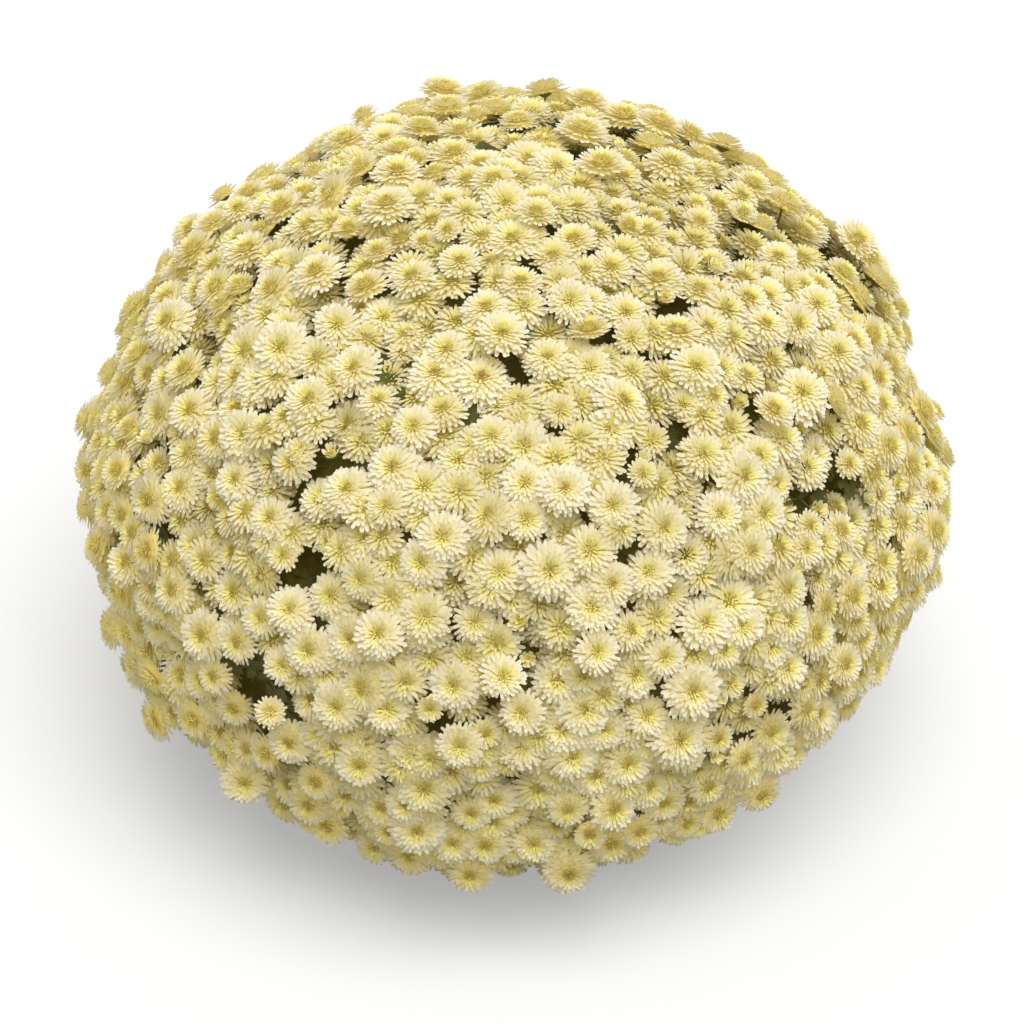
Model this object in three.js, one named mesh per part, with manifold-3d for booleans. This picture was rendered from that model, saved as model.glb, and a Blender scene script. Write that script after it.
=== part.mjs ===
// A garden mum grown as a wide, low ball of small cream double blooms in a plain
// nursery pot. Millimetres, +Z up. The origin is the centre of the pot's flat base,
// and the front is towards -Y.

import * as THREE from 'three';
import { ConvexHull } from 'three/addons/math/ConvexHull.js';
import { mergeVertices } from 'three/addons/utils/BufferGeometryUtils.js';
import Module from 'manifold-3d';

const wasm = await Module();
wasm.setup();

// Dome of blooms, measured to the eyes of the outermost blooms
const DOME_RADIUS = 305;
const EQUATOR_HEIGHT = 210;
const CROWN_RISE = 264;
const SKIRT_SEMI_AXIS = 346;
const RIM_DROP = 128;
const RIM_WAVE = 22;
const RIM_FULLNESS = 8;
const RIM_MARGIN = 14.4;
const GHOST_BAND = 46;
const DOME_BANDS = 2000;

// Blooms. Each one is an eye, ridges for petals and valleys to its neighbours.
const BLOOM_SPACING = 32;
const SPACING_JITTER = 0.17;
const EYE_HEIGHT_JITTER = 5;
const PETAL_TIP_DEPTH = 6.5;
const PETAL_TIP_JITTER = 3;
const VALLEY_DEPTH = 17;
const SPRAY_BACK_DEPTH = 27;
const RANDOM_SEED = 20;

// Sprays, the domed bunches that the blooms stand in
const SPRAY_COUNT = 20;
const SPRAY_BULGE = 9;
const SPRAY_GAP = 2.4;
const BACK_SETBACK = 5;
const SMOOTHING_PASSES = 3;
const HUB_DEPTH = 24;

// Pot, with its rolled lip and drain holes
const POT_HEIGHT = 178;
const POT_BASE_RADIUS = 100;
const POT_TOP_RADIUS = 128;
const POT_WALL = 2.6;
const POT_FLOOR = 3.2;
const LIP_WIDTH = 6;
const LIP_HEIGHT = 15;
const LIP_EDGE = 3;
const BASE_CHAMFER = 3;
const POT_SIDES = 24;
const DRAIN_HOLES = 4;
const DRAIN_SIDES = 6;
const DRAIN_RADIUS = 7;
const DRAIN_CIRCLE = 72;

// Potting soil, mounded a little towards the stem
const SOIL_HEIGHT = 160;
const SOIL_MOUND = 3;
const SOIL_RELIEF = 2.2;
const SOIL_WAVE_X = 33;
const SOIL_WAVE_Y = 27;
const SOIL_WALL_GAP = 1.2;

// Room between pieces that touch
const CLEARANCE = 0.35;
const SEAT_CLEARANCE = 1;

// Woody main stem, standing in a plain hole in the soil
const TRUNK_RADIUS = 13;
const TRUNK_FOOT_RADIUS = 15.5;
const TRUNK_TOP = 214;
const TRUNK_FOOT_DEPTH = 70;
const TRUNK_EDGE = 3;
const TRUNK_SIDES = 8;

// Leafy stems, which rise from the main stem to the back of each spray
const LOWEST_SHOOT = 165;
const SHOOT_RADIUS = 3.6;
const SHOOT_TIP_RADIUS = 2.4;
const SHOOT_SIDES = 4;
const SHOOT_STEPS = 4;
const SHOOT_BOW = 12;
const LIP_CLEARANCE = 30;
const FORK_AT = 0.62;
const FORK_RADIUS = 1.9;
const FORK_SIDES = 3;
const FORKS = 2;
const FORK_REACH = 0.5;
const LEAVES = 3;
const FIRST_LEAF_AT = 0.58;
const LEAF_STEP = 0.14;
const LEAF_FAN = 1.35;
const LEAF_LENGTH = 56;
const LEAF_THICKNESS = 3;
const LEAF_THICKEST_AT = 0.34;
const LEAF_ARCH = 0.22;
const LEAF_CUPPING = 1.6;
const LEAF_LEAN = 0.15;
// Half of a lobed leaf's outline as [along, out] shares of its length
const LEAF_EDGE = [[0, 0], [0.3, 0.36], [0.46, 0.17], [0.72, 0.32], [1, 0]];

const GOLDEN_ANGLE = Math.PI * (3 - Math.sqrt(5));
const UP = new THREE.Vector3(0, 0, 1);

const material = (color, roughness) => new THREE.MeshStandardMaterial({ color, roughness, metalness: 0 });
const petalCream = material(0xeee4b4, 0.7);
const leafGreen = material(0x4c6a34, 0.65);
const barkBrown = material(0x7d7049, 0.85);
const soilBrown = material(0x37291f, 0.95);
const potCharcoal = material(0x2c2e30, 0.55);

// A seeded random stream of numbers from 0 to 1
function randomStream(seed) {
  let state = seed;
  return () => {
    state = (Math.imul(state, 1664525) + 1013904223) >>> 0;
    return state / 4294967296;
  };
}

// A closed three.js geometry as a solid, with its shared vertices merged
function toSolid(geometry) {
  const bare = new THREE.BufferGeometry();
  bare.setAttribute('position', geometry.getAttribute('position').clone());
  if (geometry.index) bare.setIndex(geometry.index.clone());
  const merged = mergeVertices(bare, 1e-3);
  const triangles = [];
  const index = merged.index.array;
  for (let i = 0; i < index.length; i += 3) {
    const [a, b, c] = [index[i], index[i + 1], index[i + 2]];
    if (a !== b && b !== c && c !== a) triangles.push(a, b, c);
  }
  return new wasm.Manifold(new wasm.Mesh({
    numProp: 3,
    vertProperties: new Float32Array(merged.getAttribute('position').array),
    triVerts: new Uint32Array(triangles),
  }));
}

function toMesh(solid, name, finish) {
  const { vertProperties, triVerts } = solid.getMesh();
  return meshOf(Array.from(vertProperties), Array.from(triVerts), name, finish);
}

function meshOf(positions, triangles, name, finish) {
  const mesh = new THREE.Mesh(geometryOf(positions, triangles), finish);
  mesh.geometry.computeVertexNormals();
  mesh.name = name;
  return mesh;
}

function geometryOf(positions, triangles) {
  const geometry = new THREE.BufferGeometry();
  geometry.setAttribute('position', new THREE.Float32BufferAttribute(positions, 3));
  geometry.setIndex(triangles);
  return geometry;
}

const numbered = (name, i) => `${name}_${String(i + 1).padStart(2, '0')}`;

// The dome is the upper half of one spheroid on the lower half of a deeper one.
// Azimuth runs from the front towards +X.
const outward = (azimuth) => new THREE.Vector3(Math.sin(azimuth), -Math.cos(azimuth), 0);
const semiAxis = (latitude) => (latitude > 0 ? CROWN_RISE : SKIRT_SEMI_AXIS);

// The rim hangs lowest at the front and at both sides of the back.
function rimHeight(azimuth) {
  const wave = RIM_WAVE * Math.cos(3 * azimuth) + RIM_FULLNESS * Math.sin(3 * azimuth) ** 2;
  return EQUATOR_HEIGHT - RIM_DROP - wave;
}

function domePoint({ latitude, azimuth }) {
  const point = outward(azimuth).multiplyScalar(DOME_RADIUS * Math.cos(latitude));
  return point.setZ(EQUATOR_HEIGHT + semiAxis(latitude) * Math.sin(latitude));
}

function domeNormal({ latitude, azimuth }) {
  const normal = outward(azimuth).multiplyScalar(Math.cos(latitude) / DOME_RADIUS);
  return normal.setZ(Math.sin(latitude) / semiAxis(latitude)).normalize();
}

// The dome's surface in level bands, from the crown to a drop below the equator,
// with the running area
function domeBands(drop) {
  const lowest = -Math.asin(drop / SKIRT_SEMI_AXIS);
  const step = (Math.PI / 2 - lowest) / DOME_BANDS;
  const area = [0];
  for (let k = 0; k < DOME_BANDS; k++) {
    const latitude = Math.PI / 2 - (k + 0.5) * step;
    const radius = DOME_RADIUS * Math.cos(latitude);
    const slope = Math.hypot(DOME_RADIUS * Math.sin(latitude), semiAxis(latitude) * Math.cos(latitude));
    area.push(area[k] + 2 * Math.PI * radius * slope * step);
  }
  return { area, step };
}

// Spots on a golden-angle spiral from the crown down, each with the same share of
// the bands' area, as buds share a crown
function spiralOver({ area, step }, count) {
  const spots = [];
  let k = 0;
  for (let i = 0; i < count; i++) {
    const target = (area[DOME_BANDS] * (i + 0.5)) / count;
    while (area[k + 1] < target) k++;
    const part = (target - area[k]) / (area[k + 1] - area[k]);
    spots.push({ latitude: Math.PI / 2 - (k + part) * step, azimuth: i * GOLDEN_ANGLE });
  }
  return spots;
}

// Spray centres, and the bloom sites around them. Sites below the rim are ghosts:
// they only shape the rim blooms' lower petals.
function sprayCentres() {
  return spiralOver(domeBands(RIM_DROP), SPRAY_COUNT).map((spot) => ({
    point: domePoint(spot),
    normal: domeNormal(spot),
    azimuth: spot.azimuth,
  }));
}

function bloomSites(sprays) {
  const random = randomStream(RANDOM_SEED);
  const areaEach = (BLOOM_SPACING ** 2 * Math.sqrt(3)) / 2;
  const reach = DOME_RADIUS * Math.sqrt(2 / SPRAY_COUNT);
  const shift = BLOOM_SPACING * SPACING_JITTER;
  const bands = domeBands(RIM_DROP + RIM_WAVE + GHOST_BAND);
  const count = Math.round(bands.area[DOME_BANDS] / areaEach);
  return spiralOver(bands, count).map((spot) => {
    const radius = DOME_RADIUS * Math.max(Math.cos(spot.latitude), 0.05);
    const latitude = spot.latitude + ((random() * 2 - 1) * shift) / DOME_RADIUS;
    const azimuth = spot.azimuth + ((random() * 2 - 1) * shift) / radius;
    const jittered = { latitude: Math.min(latitude, Math.PI / 2), azimuth };
    const smooth = domePoint(jittered);
    const normal = domeNormal(jittered);
    const distances = sprays.map((spray) => spray.point.distanceTo(smooth));
    const nearest = distances.indexOf(Math.min(...distances));
    const sink = SPRAY_BULGE * Math.min(distances[nearest] / reach, 1) ** 2;
    const eyeDepth = random() * EYE_HEIGHT_JITTER;
    const ghost = smooth.z < rimHeight(azimuth) + RIM_MARGIN;
    return {
      smooth,
      normal,
      point: smooth.clone().addScaledVector(normal, -sink),
      eyeDepth,
      spray: ghost ? -1 : nearest,
    };
  });
}

// Which three blooms meet at each valley, seen anticlockwise from outside
function valleysBetween(sites) {
  const numberOf = new Map(sites.map((site, i) => [site.smooth, i]));
  const hull = new ConvexHull().setFromPoints(sites.map((site) => site.smooth));
  return hull.faces.map((face) => [0, 1, 2].map((k) => numberOf.get(face.getEdge(k).head().point)));
}

// A bloom that has more neighbours in another spray than in its own joins that one.
function settleStragglers(sites, valleys) {
  const votes = sites.map(() => new Map());
  for (const corners of valleys) {
    for (const i of corners) {
      for (const j of corners) {
        const spray = sites[j].spray;
        if (i !== j && spray >= 0) votes[i].set(spray, (votes[i].get(spray) ?? 0) + 1);
      }
    }
  }
  sites.forEach((site, i) => {
    if (site.spray < 0) return;
    const [[spray, most]] = [...votes[i]].sort((a, b) => b[1] - a[1]);
    if (most > (votes[i].get(site.spray) ?? 0)) site.spray = spray;
  });
}

function middleNormal(sites) {
  const normal = new THREE.Vector3();
  for (const site of sites) normal.add(site.normal);
  return normal.normalize();
}

// Mean of some sites' points, sunk along their mean normal
function between(sites, depth) {
  const point = new THREE.Vector3();
  for (const site of sites) point.addScaledVector(site.point, 1 / sites.length);
  return point.addScaledVector(middleNormal(sites), -depth);
}

// One spray: the blooms' eyes, petal ridges and valleys, with a wall down its edge
// to its back. The wall keeps a narrow gap to the next spray.
function buildSpray(number, spray, sites, valleys) {
  const positions = [];
  const triangles = [];
  const known = new Map();

  const vertex = (key, make) => {
    if (!known.has(key)) {
      known.set(key, positions.length / 3);
      positions.push(...make().toArray());
    }
    return known.get(key);
  };
  // Edge points stand back from the border by half the gap between sprays.
  const standBack = (point, corners) => {
    const own = corners.filter((i) => sites[i].spray === number);
    if (own.length === corners.length) return point;
    const middle = between(own.map((i) => sites[i]), 0);
    const inwards = middle.clone().sub(point).projectOnPlane(sites[own[0]].normal);
    return point.addScaledVector(inwards.normalize(), SPRAY_GAP / 2);
  };
  const eye = (i) => vertex(`eye ${i}`, () => between([sites[i]], sites[i].eyeDepth));
  const tip = (i, j) => {
    const corners = [Math.min(i, j), Math.max(i, j)];
    const depth = PETAL_TIP_DEPTH + PETAL_TIP_JITTER * Math.sin(i * j);
    const make = () => standBack(between(corners.map((c) => sites[c]), depth), corners);
    return vertex(`tip ${corners}`, make);
  };
  const atValley = (v, depth) => between(valleys[v].map((c) => sites[c]), depth);
  const valley = (v) => vertex(`valley ${v}`, () => standBack(atValley(v, VALLEY_DEPTH), valleys[v]));

  // Petal fans, and the border's valley-to-valley steps
  const borders = new Map();
  valleys.forEach((corners, v) => {
    corners.forEach((i, k) => {
      if (sites[i].spray !== number) return;
      const next = corners[(k + 1) % 3];
      const previous = corners[(k + 2) % 3];
      const meets = (j) => sites[j].spray === number || sites[j].spray < 0;
      if (meets(next)) triangles.push(eye(i), tip(i, next), valley(v));
      if (meets(previous)) triangles.push(eye(i), valley(v), tip(i, previous));
      if (sites[previous].spray !== number) {
        borders.set(v, { bloom: i, beyond: previous });
      }
    });
  });

  // Each border step runs on to the valley that has the same two blooms.
  const shares = (v, border) => valleys[v].includes(border.bloom) && valleys[v].includes(border.beyond);
  const nextOf = (v) => {
    const border = borders.get(v);
    return valleys.findIndex((_, w) => w !== v && shares(w, border));
  };
  const start = borders.keys().next().value;
  const loop = [];
  for (let v = start; loop.length === 0 || v !== start; v = nextOf(v)) loop.push(v);
  if (loop.length !== borders.size) throw new Error(`spray ${number} has more than one border`);

  // The back is a shallow cone from its hub, where the stem ends, to a smooth edge.
  const own = sites.filter((site) => site.spray === number);
  const hub = between(own, HUB_DEPTH);
  const edge = smoothLoop(loop.map((v) => atValley(v, SPRAY_BACK_DEPTH)));
  const backs = edge.map((point, k) => {
    const inwards = hub.clone().sub(point).setLength(BACK_SETBACK);
    return vertex(`back ${k}`, () => point.clone().add(inwards));
  });

  // The wall from the border to the back
  loop.forEach((v, k) => {
    const next = (k + 1) % loop.length;
    const w = loop[next];
    const { bloom, beyond } = borders.get(v);
    if (sites[beyond].spray < 0) {
      const petal = tip(bloom, beyond);
      triangles.push(petal, valley(v), backs[k]);
      triangles.push(petal, backs[k], backs[next]);
      triangles.push(valley(w), petal, backs[next]);
      return;
    }
    triangles.push(eye(bloom), valley(v), valley(w));
    if (v < w) {
      triangles.push(valley(w), valley(v), backs[k], valley(w), backs[k], backs[next]);
    } else {
      triangles.push(valley(w), valley(v), backs[next], valley(v), backs[k], backs[next]);
    }
  });

  // The back's facets, two of which carry the forks
  const hubNumber = vertex('hub', () => hub);
  const seats = [{ centre: hub, normal: middleNormal(own).negate() }];
  const point = (n) => new THREE.Vector3().fromArray(positions, 3 * n);
  loop.forEach((v, k) => {
    const corners = [backs[(k + 1) % loop.length], backs[k], hubNumber];
    triangles.push(...corners);
    const nth = Math.floor(((k + 0.5) * FORKS) / loop.length);
    if (k === Math.round(((nth + 0.5) * loop.length) / FORKS)) seats.push(seatOn(corners.map(point)));
  });
  return { mesh: meshOf(positions, triangles, numbered('bloom_spray', number), petalCream), seats };
}

// A loop of points with its zigzags evened out
function smoothLoop(points) {
  let smooth = points;
  for (let pass = 0; pass < SMOOTHING_PASSES; pass++) {
    smooth = smooth.map((point, k) => {
      const previous = smooth[(k + smooth.length - 1) % smooth.length];
      const next = smooth[(k + 1) % smooth.length];
      return point.clone().multiplyScalar(2).add(previous).add(next).divideScalar(4);
    });
  }
  return smooth;
}

// A place on the back's facet, between the border's edge and the hub, for a fork
function seatOn([a, b, hub]) {
  const { normal } = new THREE.Plane().setFromCoplanarPoints(a, b, hub);
  return { centre: a.clone().lerp(b, 0.5).lerp(hub, 1 - FORK_REACH), normal };
}

// A closed tapered stem along a curve, cut flush with the seats that it starts and
// ends at
function buildStem(curve, startRadius, endRadius, sides, steps, seats) {
  const frames = curve.computeFrenetFrames(steps, false);
  const positions = [];
  const triangles = [];
  for (let k = 0; k <= steps; k++) {
    const radius = startRadius + ((endRadius - startRadius) * k) / steps;
    const centre = curve.getPointAt(k / steps);
    for (let side = 0; side < sides; side++) {
      const angle = (side / sides) * 2 * Math.PI;
      const point = centre.clone();
      point.addScaledVector(frames.normals[k], radius * Math.cos(angle));
      point.addScaledVector(frames.binormals[k], radius * Math.sin(angle));
      const seat = seats[k / steps];
      if (seat) {
        const gap = point.clone().sub(seat.centre).dot(seat.normal) - SEAT_CLEARANCE;
        point.addScaledVector(frames.tangents[k], -gap / frames.tangents[k].dot(seat.normal));
      }
      positions.push(...point.toArray());
    }
  }
  for (let k = 0; k < steps; k++) {
    for (let side = 0; side < sides; side++) {
      const a = k * sides + side;
      const b = k * sides + ((side + 1) % sides);
      triangles.push(a, b, b + sides, a, b + sides, a + sides);
    }
  }
  const last = steps * sides;
  for (let side = 1; side < sides - 1; side++) {
    triangles.push(0, side + 1, side, last, last + side, last + side + 1);
  }
  return toSolid(geometryOf(positions, triangles));
}

// A lobed leaf whose blade is thickest near its middle, and arches
function buildLeaf(root, along, faceOut) {
  const side = along.clone().cross(faceOut).normalize();
  const up = side.clone().cross(along).normalize();
  const place = (u, w, lift) => {
    const arch = lift - LEAF_ARCH * LEAF_LENGTH * (u * u + LEAF_CUPPING * w * w);
    const point = root.clone().addScaledVector(along, u * LEAF_LENGTH);
    return point.addScaledVector(side, w * LEAF_LENGTH).addScaledVector(up, arch).toArray();
  };
  const rightSide = LEAF_EDGE.map(([u, w]) => place(u, w, 0));
  const leftSide = LEAF_EDGE.slice(1, -1).reverse().map(([u, w]) => place(u, -w, 0));
  const outline = [...rightSide, ...leftSide];
  const faces = [place(LEAF_THICKEST_AT, 0, LEAF_THICKNESS), place(LEAF_THICKEST_AT, 0, 0)];
  const positions = [...outline, ...faces].flat();
  const triangles = [];
  const top = outline.length;
  for (let k = 0; k < outline.length; k++) {
    const next = (k + 1) % outline.length;
    triangles.push(top, k, next, top + 1, next, k);
  }
  return toSolid(geometryOf(positions, triangles));
}

// A shoot leaves the main stem's side, lower for a lower spray. The crown spray's
// shoot leaves its top.
function shootStart(number, spray) {
  if (number === 0) return { centre: UP.clone().multiplyScalar(TRUNK_TOP), normal: UP.clone() };
  const highest = TRUNK_TOP - 2 * SHOOT_RADIUS;
  const height = THREE.MathUtils.lerp(highest, LOWEST_SHOOT, number / (SPRAY_COUNT - 1));
  const normal = outward(spray.azimuth);
  return { centre: normal.clone().multiplyScalar(TRUNK_RADIUS).setZ(height), normal };
}

// It arches over the pot's lip on the way to its seat.
function shootPath(start, end) {
  const middle = start.centre.clone().lerp(end.centre, 0.5);
  middle.addScaledVector(start.normal, SHOOT_BOW);
  middle.z = Math.max(middle.z, POT_HEIGHT + LIP_CLEARANCE);
  return new THREE.CatmullRomCurve3([
    start.centre.clone().addScaledVector(start.normal, CLEARANCE),
    middle,
    end.centre.clone().addScaledVector(end.normal, CLEARANCE),
  ]);
}

// A place on the stem's own straight steps, for a leaf or a fork to grow from
function onStem(curve, at) {
  const step = Math.floor(at * SHOOT_STEPS);
  const from = curve.getPointAt(step / SHOOT_STEPS);
  const to = curve.getPointAt((step + 1) / SHOOT_STEPS);
  return from.lerp(to, at * SHOOT_STEPS - step);
}

function buildShoot(number, spray, seats) {
  const [middle, ...others] = seats;
  const start = shootStart(number, spray);
  const path = shootPath(start, middle);
  const ends = { 0: start, 1: middle };
  let solid = buildStem(path, SHOOT_RADIUS, SHOOT_TIP_RADIUS, SHOOT_SIDES, SHOOT_STEPS, ends);
  for (const seat of others) {
    const fork = new THREE.LineCurve3(onStem(path, FORK_AT), seat.centre);
    solid = solid.add(buildStem(fork, FORK_RADIUS, FORK_RADIUS, FORK_SIDES, 1, { 1: seat }));
  }
  for (let k = 0; k < LEAVES; k++) {
    const at = FIRST_LEAF_AT + LEAF_STEP * k;
    const tangent = path.getTangentAt(at);
    const aside = (number === 0 ? outward(0) : UP.clone()).projectOnPlane(tangent).normalize();
    aside.applyAxisAngle(tangent, LEAF_FAN * (k - (LEAVES - 1) / 2));
    const along = aside.addScaledVector(tangent, LEAF_LEAN).normalize();
    const root = onStem(path, at).addScaledVector(along, -1);
    solid = solid.add(buildLeaf(root, along, tangent));
  }
  return toMesh(solid, numbered('leafy_stem', number), leafGreen);
}

// A turned solid from a profile of [radius, height] points
function turned(profile, sides) {
  const points = profile.map(([radius, height]) => new THREE.Vector2(radius, height));
  return new THREE.LatheGeometry(points, sides).rotateX(Math.PI / 2);
}

const potRadiusAt = (height) => POT_BASE_RADIUS + ((POT_TOP_RADIUS - POT_BASE_RADIUS) * height) / POT_HEIGHT;

function buildPot() {
  const lipBase = POT_HEIGHT - LIP_HEIGHT;
  let solid = toSolid(turned([
    [0, 0],
    [POT_BASE_RADIUS - BASE_CHAMFER, 0],
    [potRadiusAt(BASE_CHAMFER), BASE_CHAMFER],
    [potRadiusAt(lipBase), lipBase],
    [potRadiusAt(lipBase) + LIP_WIDTH, lipBase + 1],
    [POT_TOP_RADIUS + LIP_WIDTH, POT_HEIGHT - LIP_EDGE],
    [POT_TOP_RADIUS + LIP_WIDTH / 2, POT_HEIGHT],
    [POT_TOP_RADIUS, POT_HEIGHT],
    [POT_TOP_RADIUS - POT_WALL, POT_HEIGHT - LIP_EDGE],
    [potRadiusAt(POT_FLOOR) - POT_WALL, POT_FLOOR],
    [0, POT_FLOOR],
  ], POT_SIDES));
  for (let k = 0; k < DRAIN_HOLES; k++) {
    const hole = new THREE.CylinderGeometry(DRAIN_RADIUS, DRAIN_RADIUS, 4 * POT_FLOOR, DRAIN_SIDES);
    hole.rotateX(Math.PI / 2).translate(DRAIN_CIRCLE, 0, 0);
    hole.rotateZ(((k + 0.5) / DRAIN_HOLES) * 2 * Math.PI);
    solid = solid.subtract(toSolid(hole));
  }
  return toMesh(solid, 'pot', potCharcoal);
}

function buildSoil() {
  const hole = TRUNK_FOOT_RADIUS + CLEARANCE;
  const wallAt = (height) => potRadiusAt(height) - POT_WALL - SOIL_WALL_GAP;
  const floor = POT_FLOOR + CLEARANCE;
  const geometry = turned([
    [0, floor],
    [wallAt(floor), floor],
    [wallAt(SOIL_HEIGHT), SOIL_HEIGHT],
    [wallAt(SOIL_HEIGHT) * 0.7, SOIL_HEIGHT + SOIL_MOUND * 0.7],
    [wallAt(SOIL_HEIGHT) * 0.4, SOIL_HEIGHT + SOIL_MOUND],
    [hole, SOIL_HEIGHT + SOIL_MOUND * 0.3],
    [hole, TRUNK_FOOT_DEPTH],
    [0, TRUNK_FOOT_DEPTH],
  ], POT_SIDES);
  const position = geometry.getAttribute('position');
  for (let i = 0; i < position.count; i++) {
    const [x, y, z] = [position.getX(i), position.getY(i), position.getZ(i)];
    const wave = Math.sin((2 * Math.PI * x) / SOIL_WAVE_X) * Math.cos((2 * Math.PI * y) / SOIL_WAVE_Y);
    if (z >= SOIL_HEIGHT) position.setZ(i, z + SOIL_RELIEF * wave);
  }
  return toMesh(toSolid(geometry), 'potting_soil', soilBrown);
}

function buildTrunk() {
  const geometry = turned([
    [0, TRUNK_FOOT_DEPTH + CLEARANCE],
    [TRUNK_FOOT_RADIUS - TRUNK_EDGE, TRUNK_FOOT_DEPTH + CLEARANCE],
    [TRUNK_FOOT_RADIUS, SOIL_HEIGHT - TRUNK_RADIUS],
    [TRUNK_RADIUS, SOIL_HEIGHT + TRUNK_RADIUS],
    [TRUNK_RADIUS, TRUNK_TOP - TRUNK_EDGE],
    [TRUNK_RADIUS - TRUNK_EDGE, TRUNK_TOP],
    [0, TRUNK_TOP],
  ], TRUNK_SIDES);
  return toMesh(toSolid(geometry), 'main_stem', barkBrown);
}

const group = new THREE.Group();
group.add(buildPot(), buildSoil(), buildTrunk());

const sprays = sprayCentres();
const sites = bloomSites(sprays);
const valleys = valleysBetween(sites);
settleStragglers(sites, valleys);
sprays.forEach((spray, number) => {
  const { mesh, seats } = buildSpray(number, spray, sites, valleys);
  group.add(mesh, buildShoot(number, spray, seats));
});

export default group;
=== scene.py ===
"""A Belgian mum in full bloom in its nursery pot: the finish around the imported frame.

Metres, +Z up, the front towards -Y. Every bloom is built up from petals that are
modelled once and copied, and stands on the dome where the frame's sprays are.
"""

import math
import random

import bmesh
import bpy
import numpy as np
from mathutils import Matrix, Vector, noise


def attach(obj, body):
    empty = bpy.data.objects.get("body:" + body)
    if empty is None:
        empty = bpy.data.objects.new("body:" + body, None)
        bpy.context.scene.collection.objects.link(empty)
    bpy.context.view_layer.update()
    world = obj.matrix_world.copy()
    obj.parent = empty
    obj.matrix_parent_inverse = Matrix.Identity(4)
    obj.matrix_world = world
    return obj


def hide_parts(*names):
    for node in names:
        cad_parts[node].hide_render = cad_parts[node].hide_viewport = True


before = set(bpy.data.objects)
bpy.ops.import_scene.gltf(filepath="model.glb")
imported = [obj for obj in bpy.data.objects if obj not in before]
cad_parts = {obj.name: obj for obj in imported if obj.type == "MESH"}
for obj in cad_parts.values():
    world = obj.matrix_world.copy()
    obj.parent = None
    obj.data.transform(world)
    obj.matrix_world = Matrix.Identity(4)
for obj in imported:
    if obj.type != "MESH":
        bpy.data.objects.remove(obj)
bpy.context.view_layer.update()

MM = 0.001

# The dome of blooms, measured to the eyes of the outermost blooms
DOME_RADIUS = 305 * MM
EQUATOR_HEIGHT = 210 * MM
CROWN_RISE = 264 * MM
SKIRT_SEMI_AXIS = 346 * MM
RIM_DROP = 128 * MM
RIM_WAVE = 22 * MM
RIM_FULLNESS = 8 * MM
RIM_MARGIN = 14.4 * MM
GHOST_BAND = 46 * MM
DOME_BANDS = 2000
GOLDEN_ANGLE = math.pi * (3 - math.sqrt(5))

# Blooms and the sprays that they stand in
BLOOM_SPACING = 32 * MM
SPACING_JITTER = 0.17
EYE_HEIGHT_JITTER = 5 * MM
SPRAY_COUNT = 20
SPRAY_BULGE = 9 * MM
LAYOUT_SEED = 20
SPRAY_REACH = DOME_RADIUS * math.sqrt(2 / SPRAY_COUNT)
TURN_UP = 0.28
LEAN_SPREAD = 12
BLOOM_HEIGHT = 11 * MM

# How far the plant departs from the even dome
SHIFT = 5.5 * MM
STEP_OUT = 4.5 * MM
STEP_IN = 6 * MM
STRAY_SHARE = 0.04
STRAY_OUT = 8 * MM
LUMP_HEIGHT = 8 * MM
LUMP_SIZE = 85 * MM
INSET = 3.5 * MM

# Gaps that show leaves: azimuth from the front, latitude and half the width in mm
GAPS = (
    (-36, 3, 14), (-33, -3, 14), (-32, 18, 5), (-46, 59, 3), (-6, 21, 4),
    (29, 43, 5), (40, 14, 6), (50, 27, 5), (57, 25, 5), (18, 10, 4), (25, 0, 5), (12, -8, 5), (41, 3, 4),
    (95, 40, 4), (110, 5, 9), (130, 58, 3), (150, 22, 5), (172, 48, 4), (190, 8, 9), (215, 33, 4),
    (250, 12, 6), (275, 35, 4),
)
GAP_EDGE = 10 * MM

# Dents in the dome: azimuth, latitude, half the width and depth in mm
DENTS = (
    (237, 33, 75, 13), (43, -20, 80, 19), (72, -20, 70, 14), (-45, -20, 75, 10), (150, -12, 70, 10),
    (200, 20, 60, 7),
)

# How a row's petals differ: turn, length and width as shares, lean and roll in degrees
PETAL_TURN = 0.28
PETAL_LENGTHS = (0.86, 1.08)
PETAL_WIDTHS = (0.85, 1.12)
PETAL_LEAN = 4
PETAL_ROLL = 11

# The cone that the petals grow from: its width as a share of their reach
CONE_SHARE = 0.74
CONE_DEPTH = 5.4 * MM
CONE_MIDDLE = 4.4 * MM
CONE_EDGE_RING = 0.3

# How youth, from 0 to 1, sets a bloom's kind, and how large the copies of each kind are
YOUNG_FROM = 0.86
HALF_OPEN_FROM = 0.4
BUD_SHARE = 0.1
BROWN_EYE_BELOW = 1 / 9
COPY_SIZES = {
    "open": (1.02, 1.28),
    "half": (0.92, 1.16),
    "young": (0.76, 0.96),
    "tucked": (0.92, 1.16),
    "bud": (0.8, 1.15),
}
# How much of the aged tone the tucked blooms get: their age, and painted shade between the outer blooms
TUCKED_SHADES = (0.5, 1.6)

# Blooms half hidden between the outer ones
TUCKED_SPOTS = 9000
TUCKED_FROM_OUTER = 13.5 * MM
TUCKED_APART = 18.7 * MM
TUCKED_DEPTH = 7 * MM

# The depth below the dome where the least light arrives, at which the finishes' painted shade is full
SUNK_FULL = 28 * MM

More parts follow.
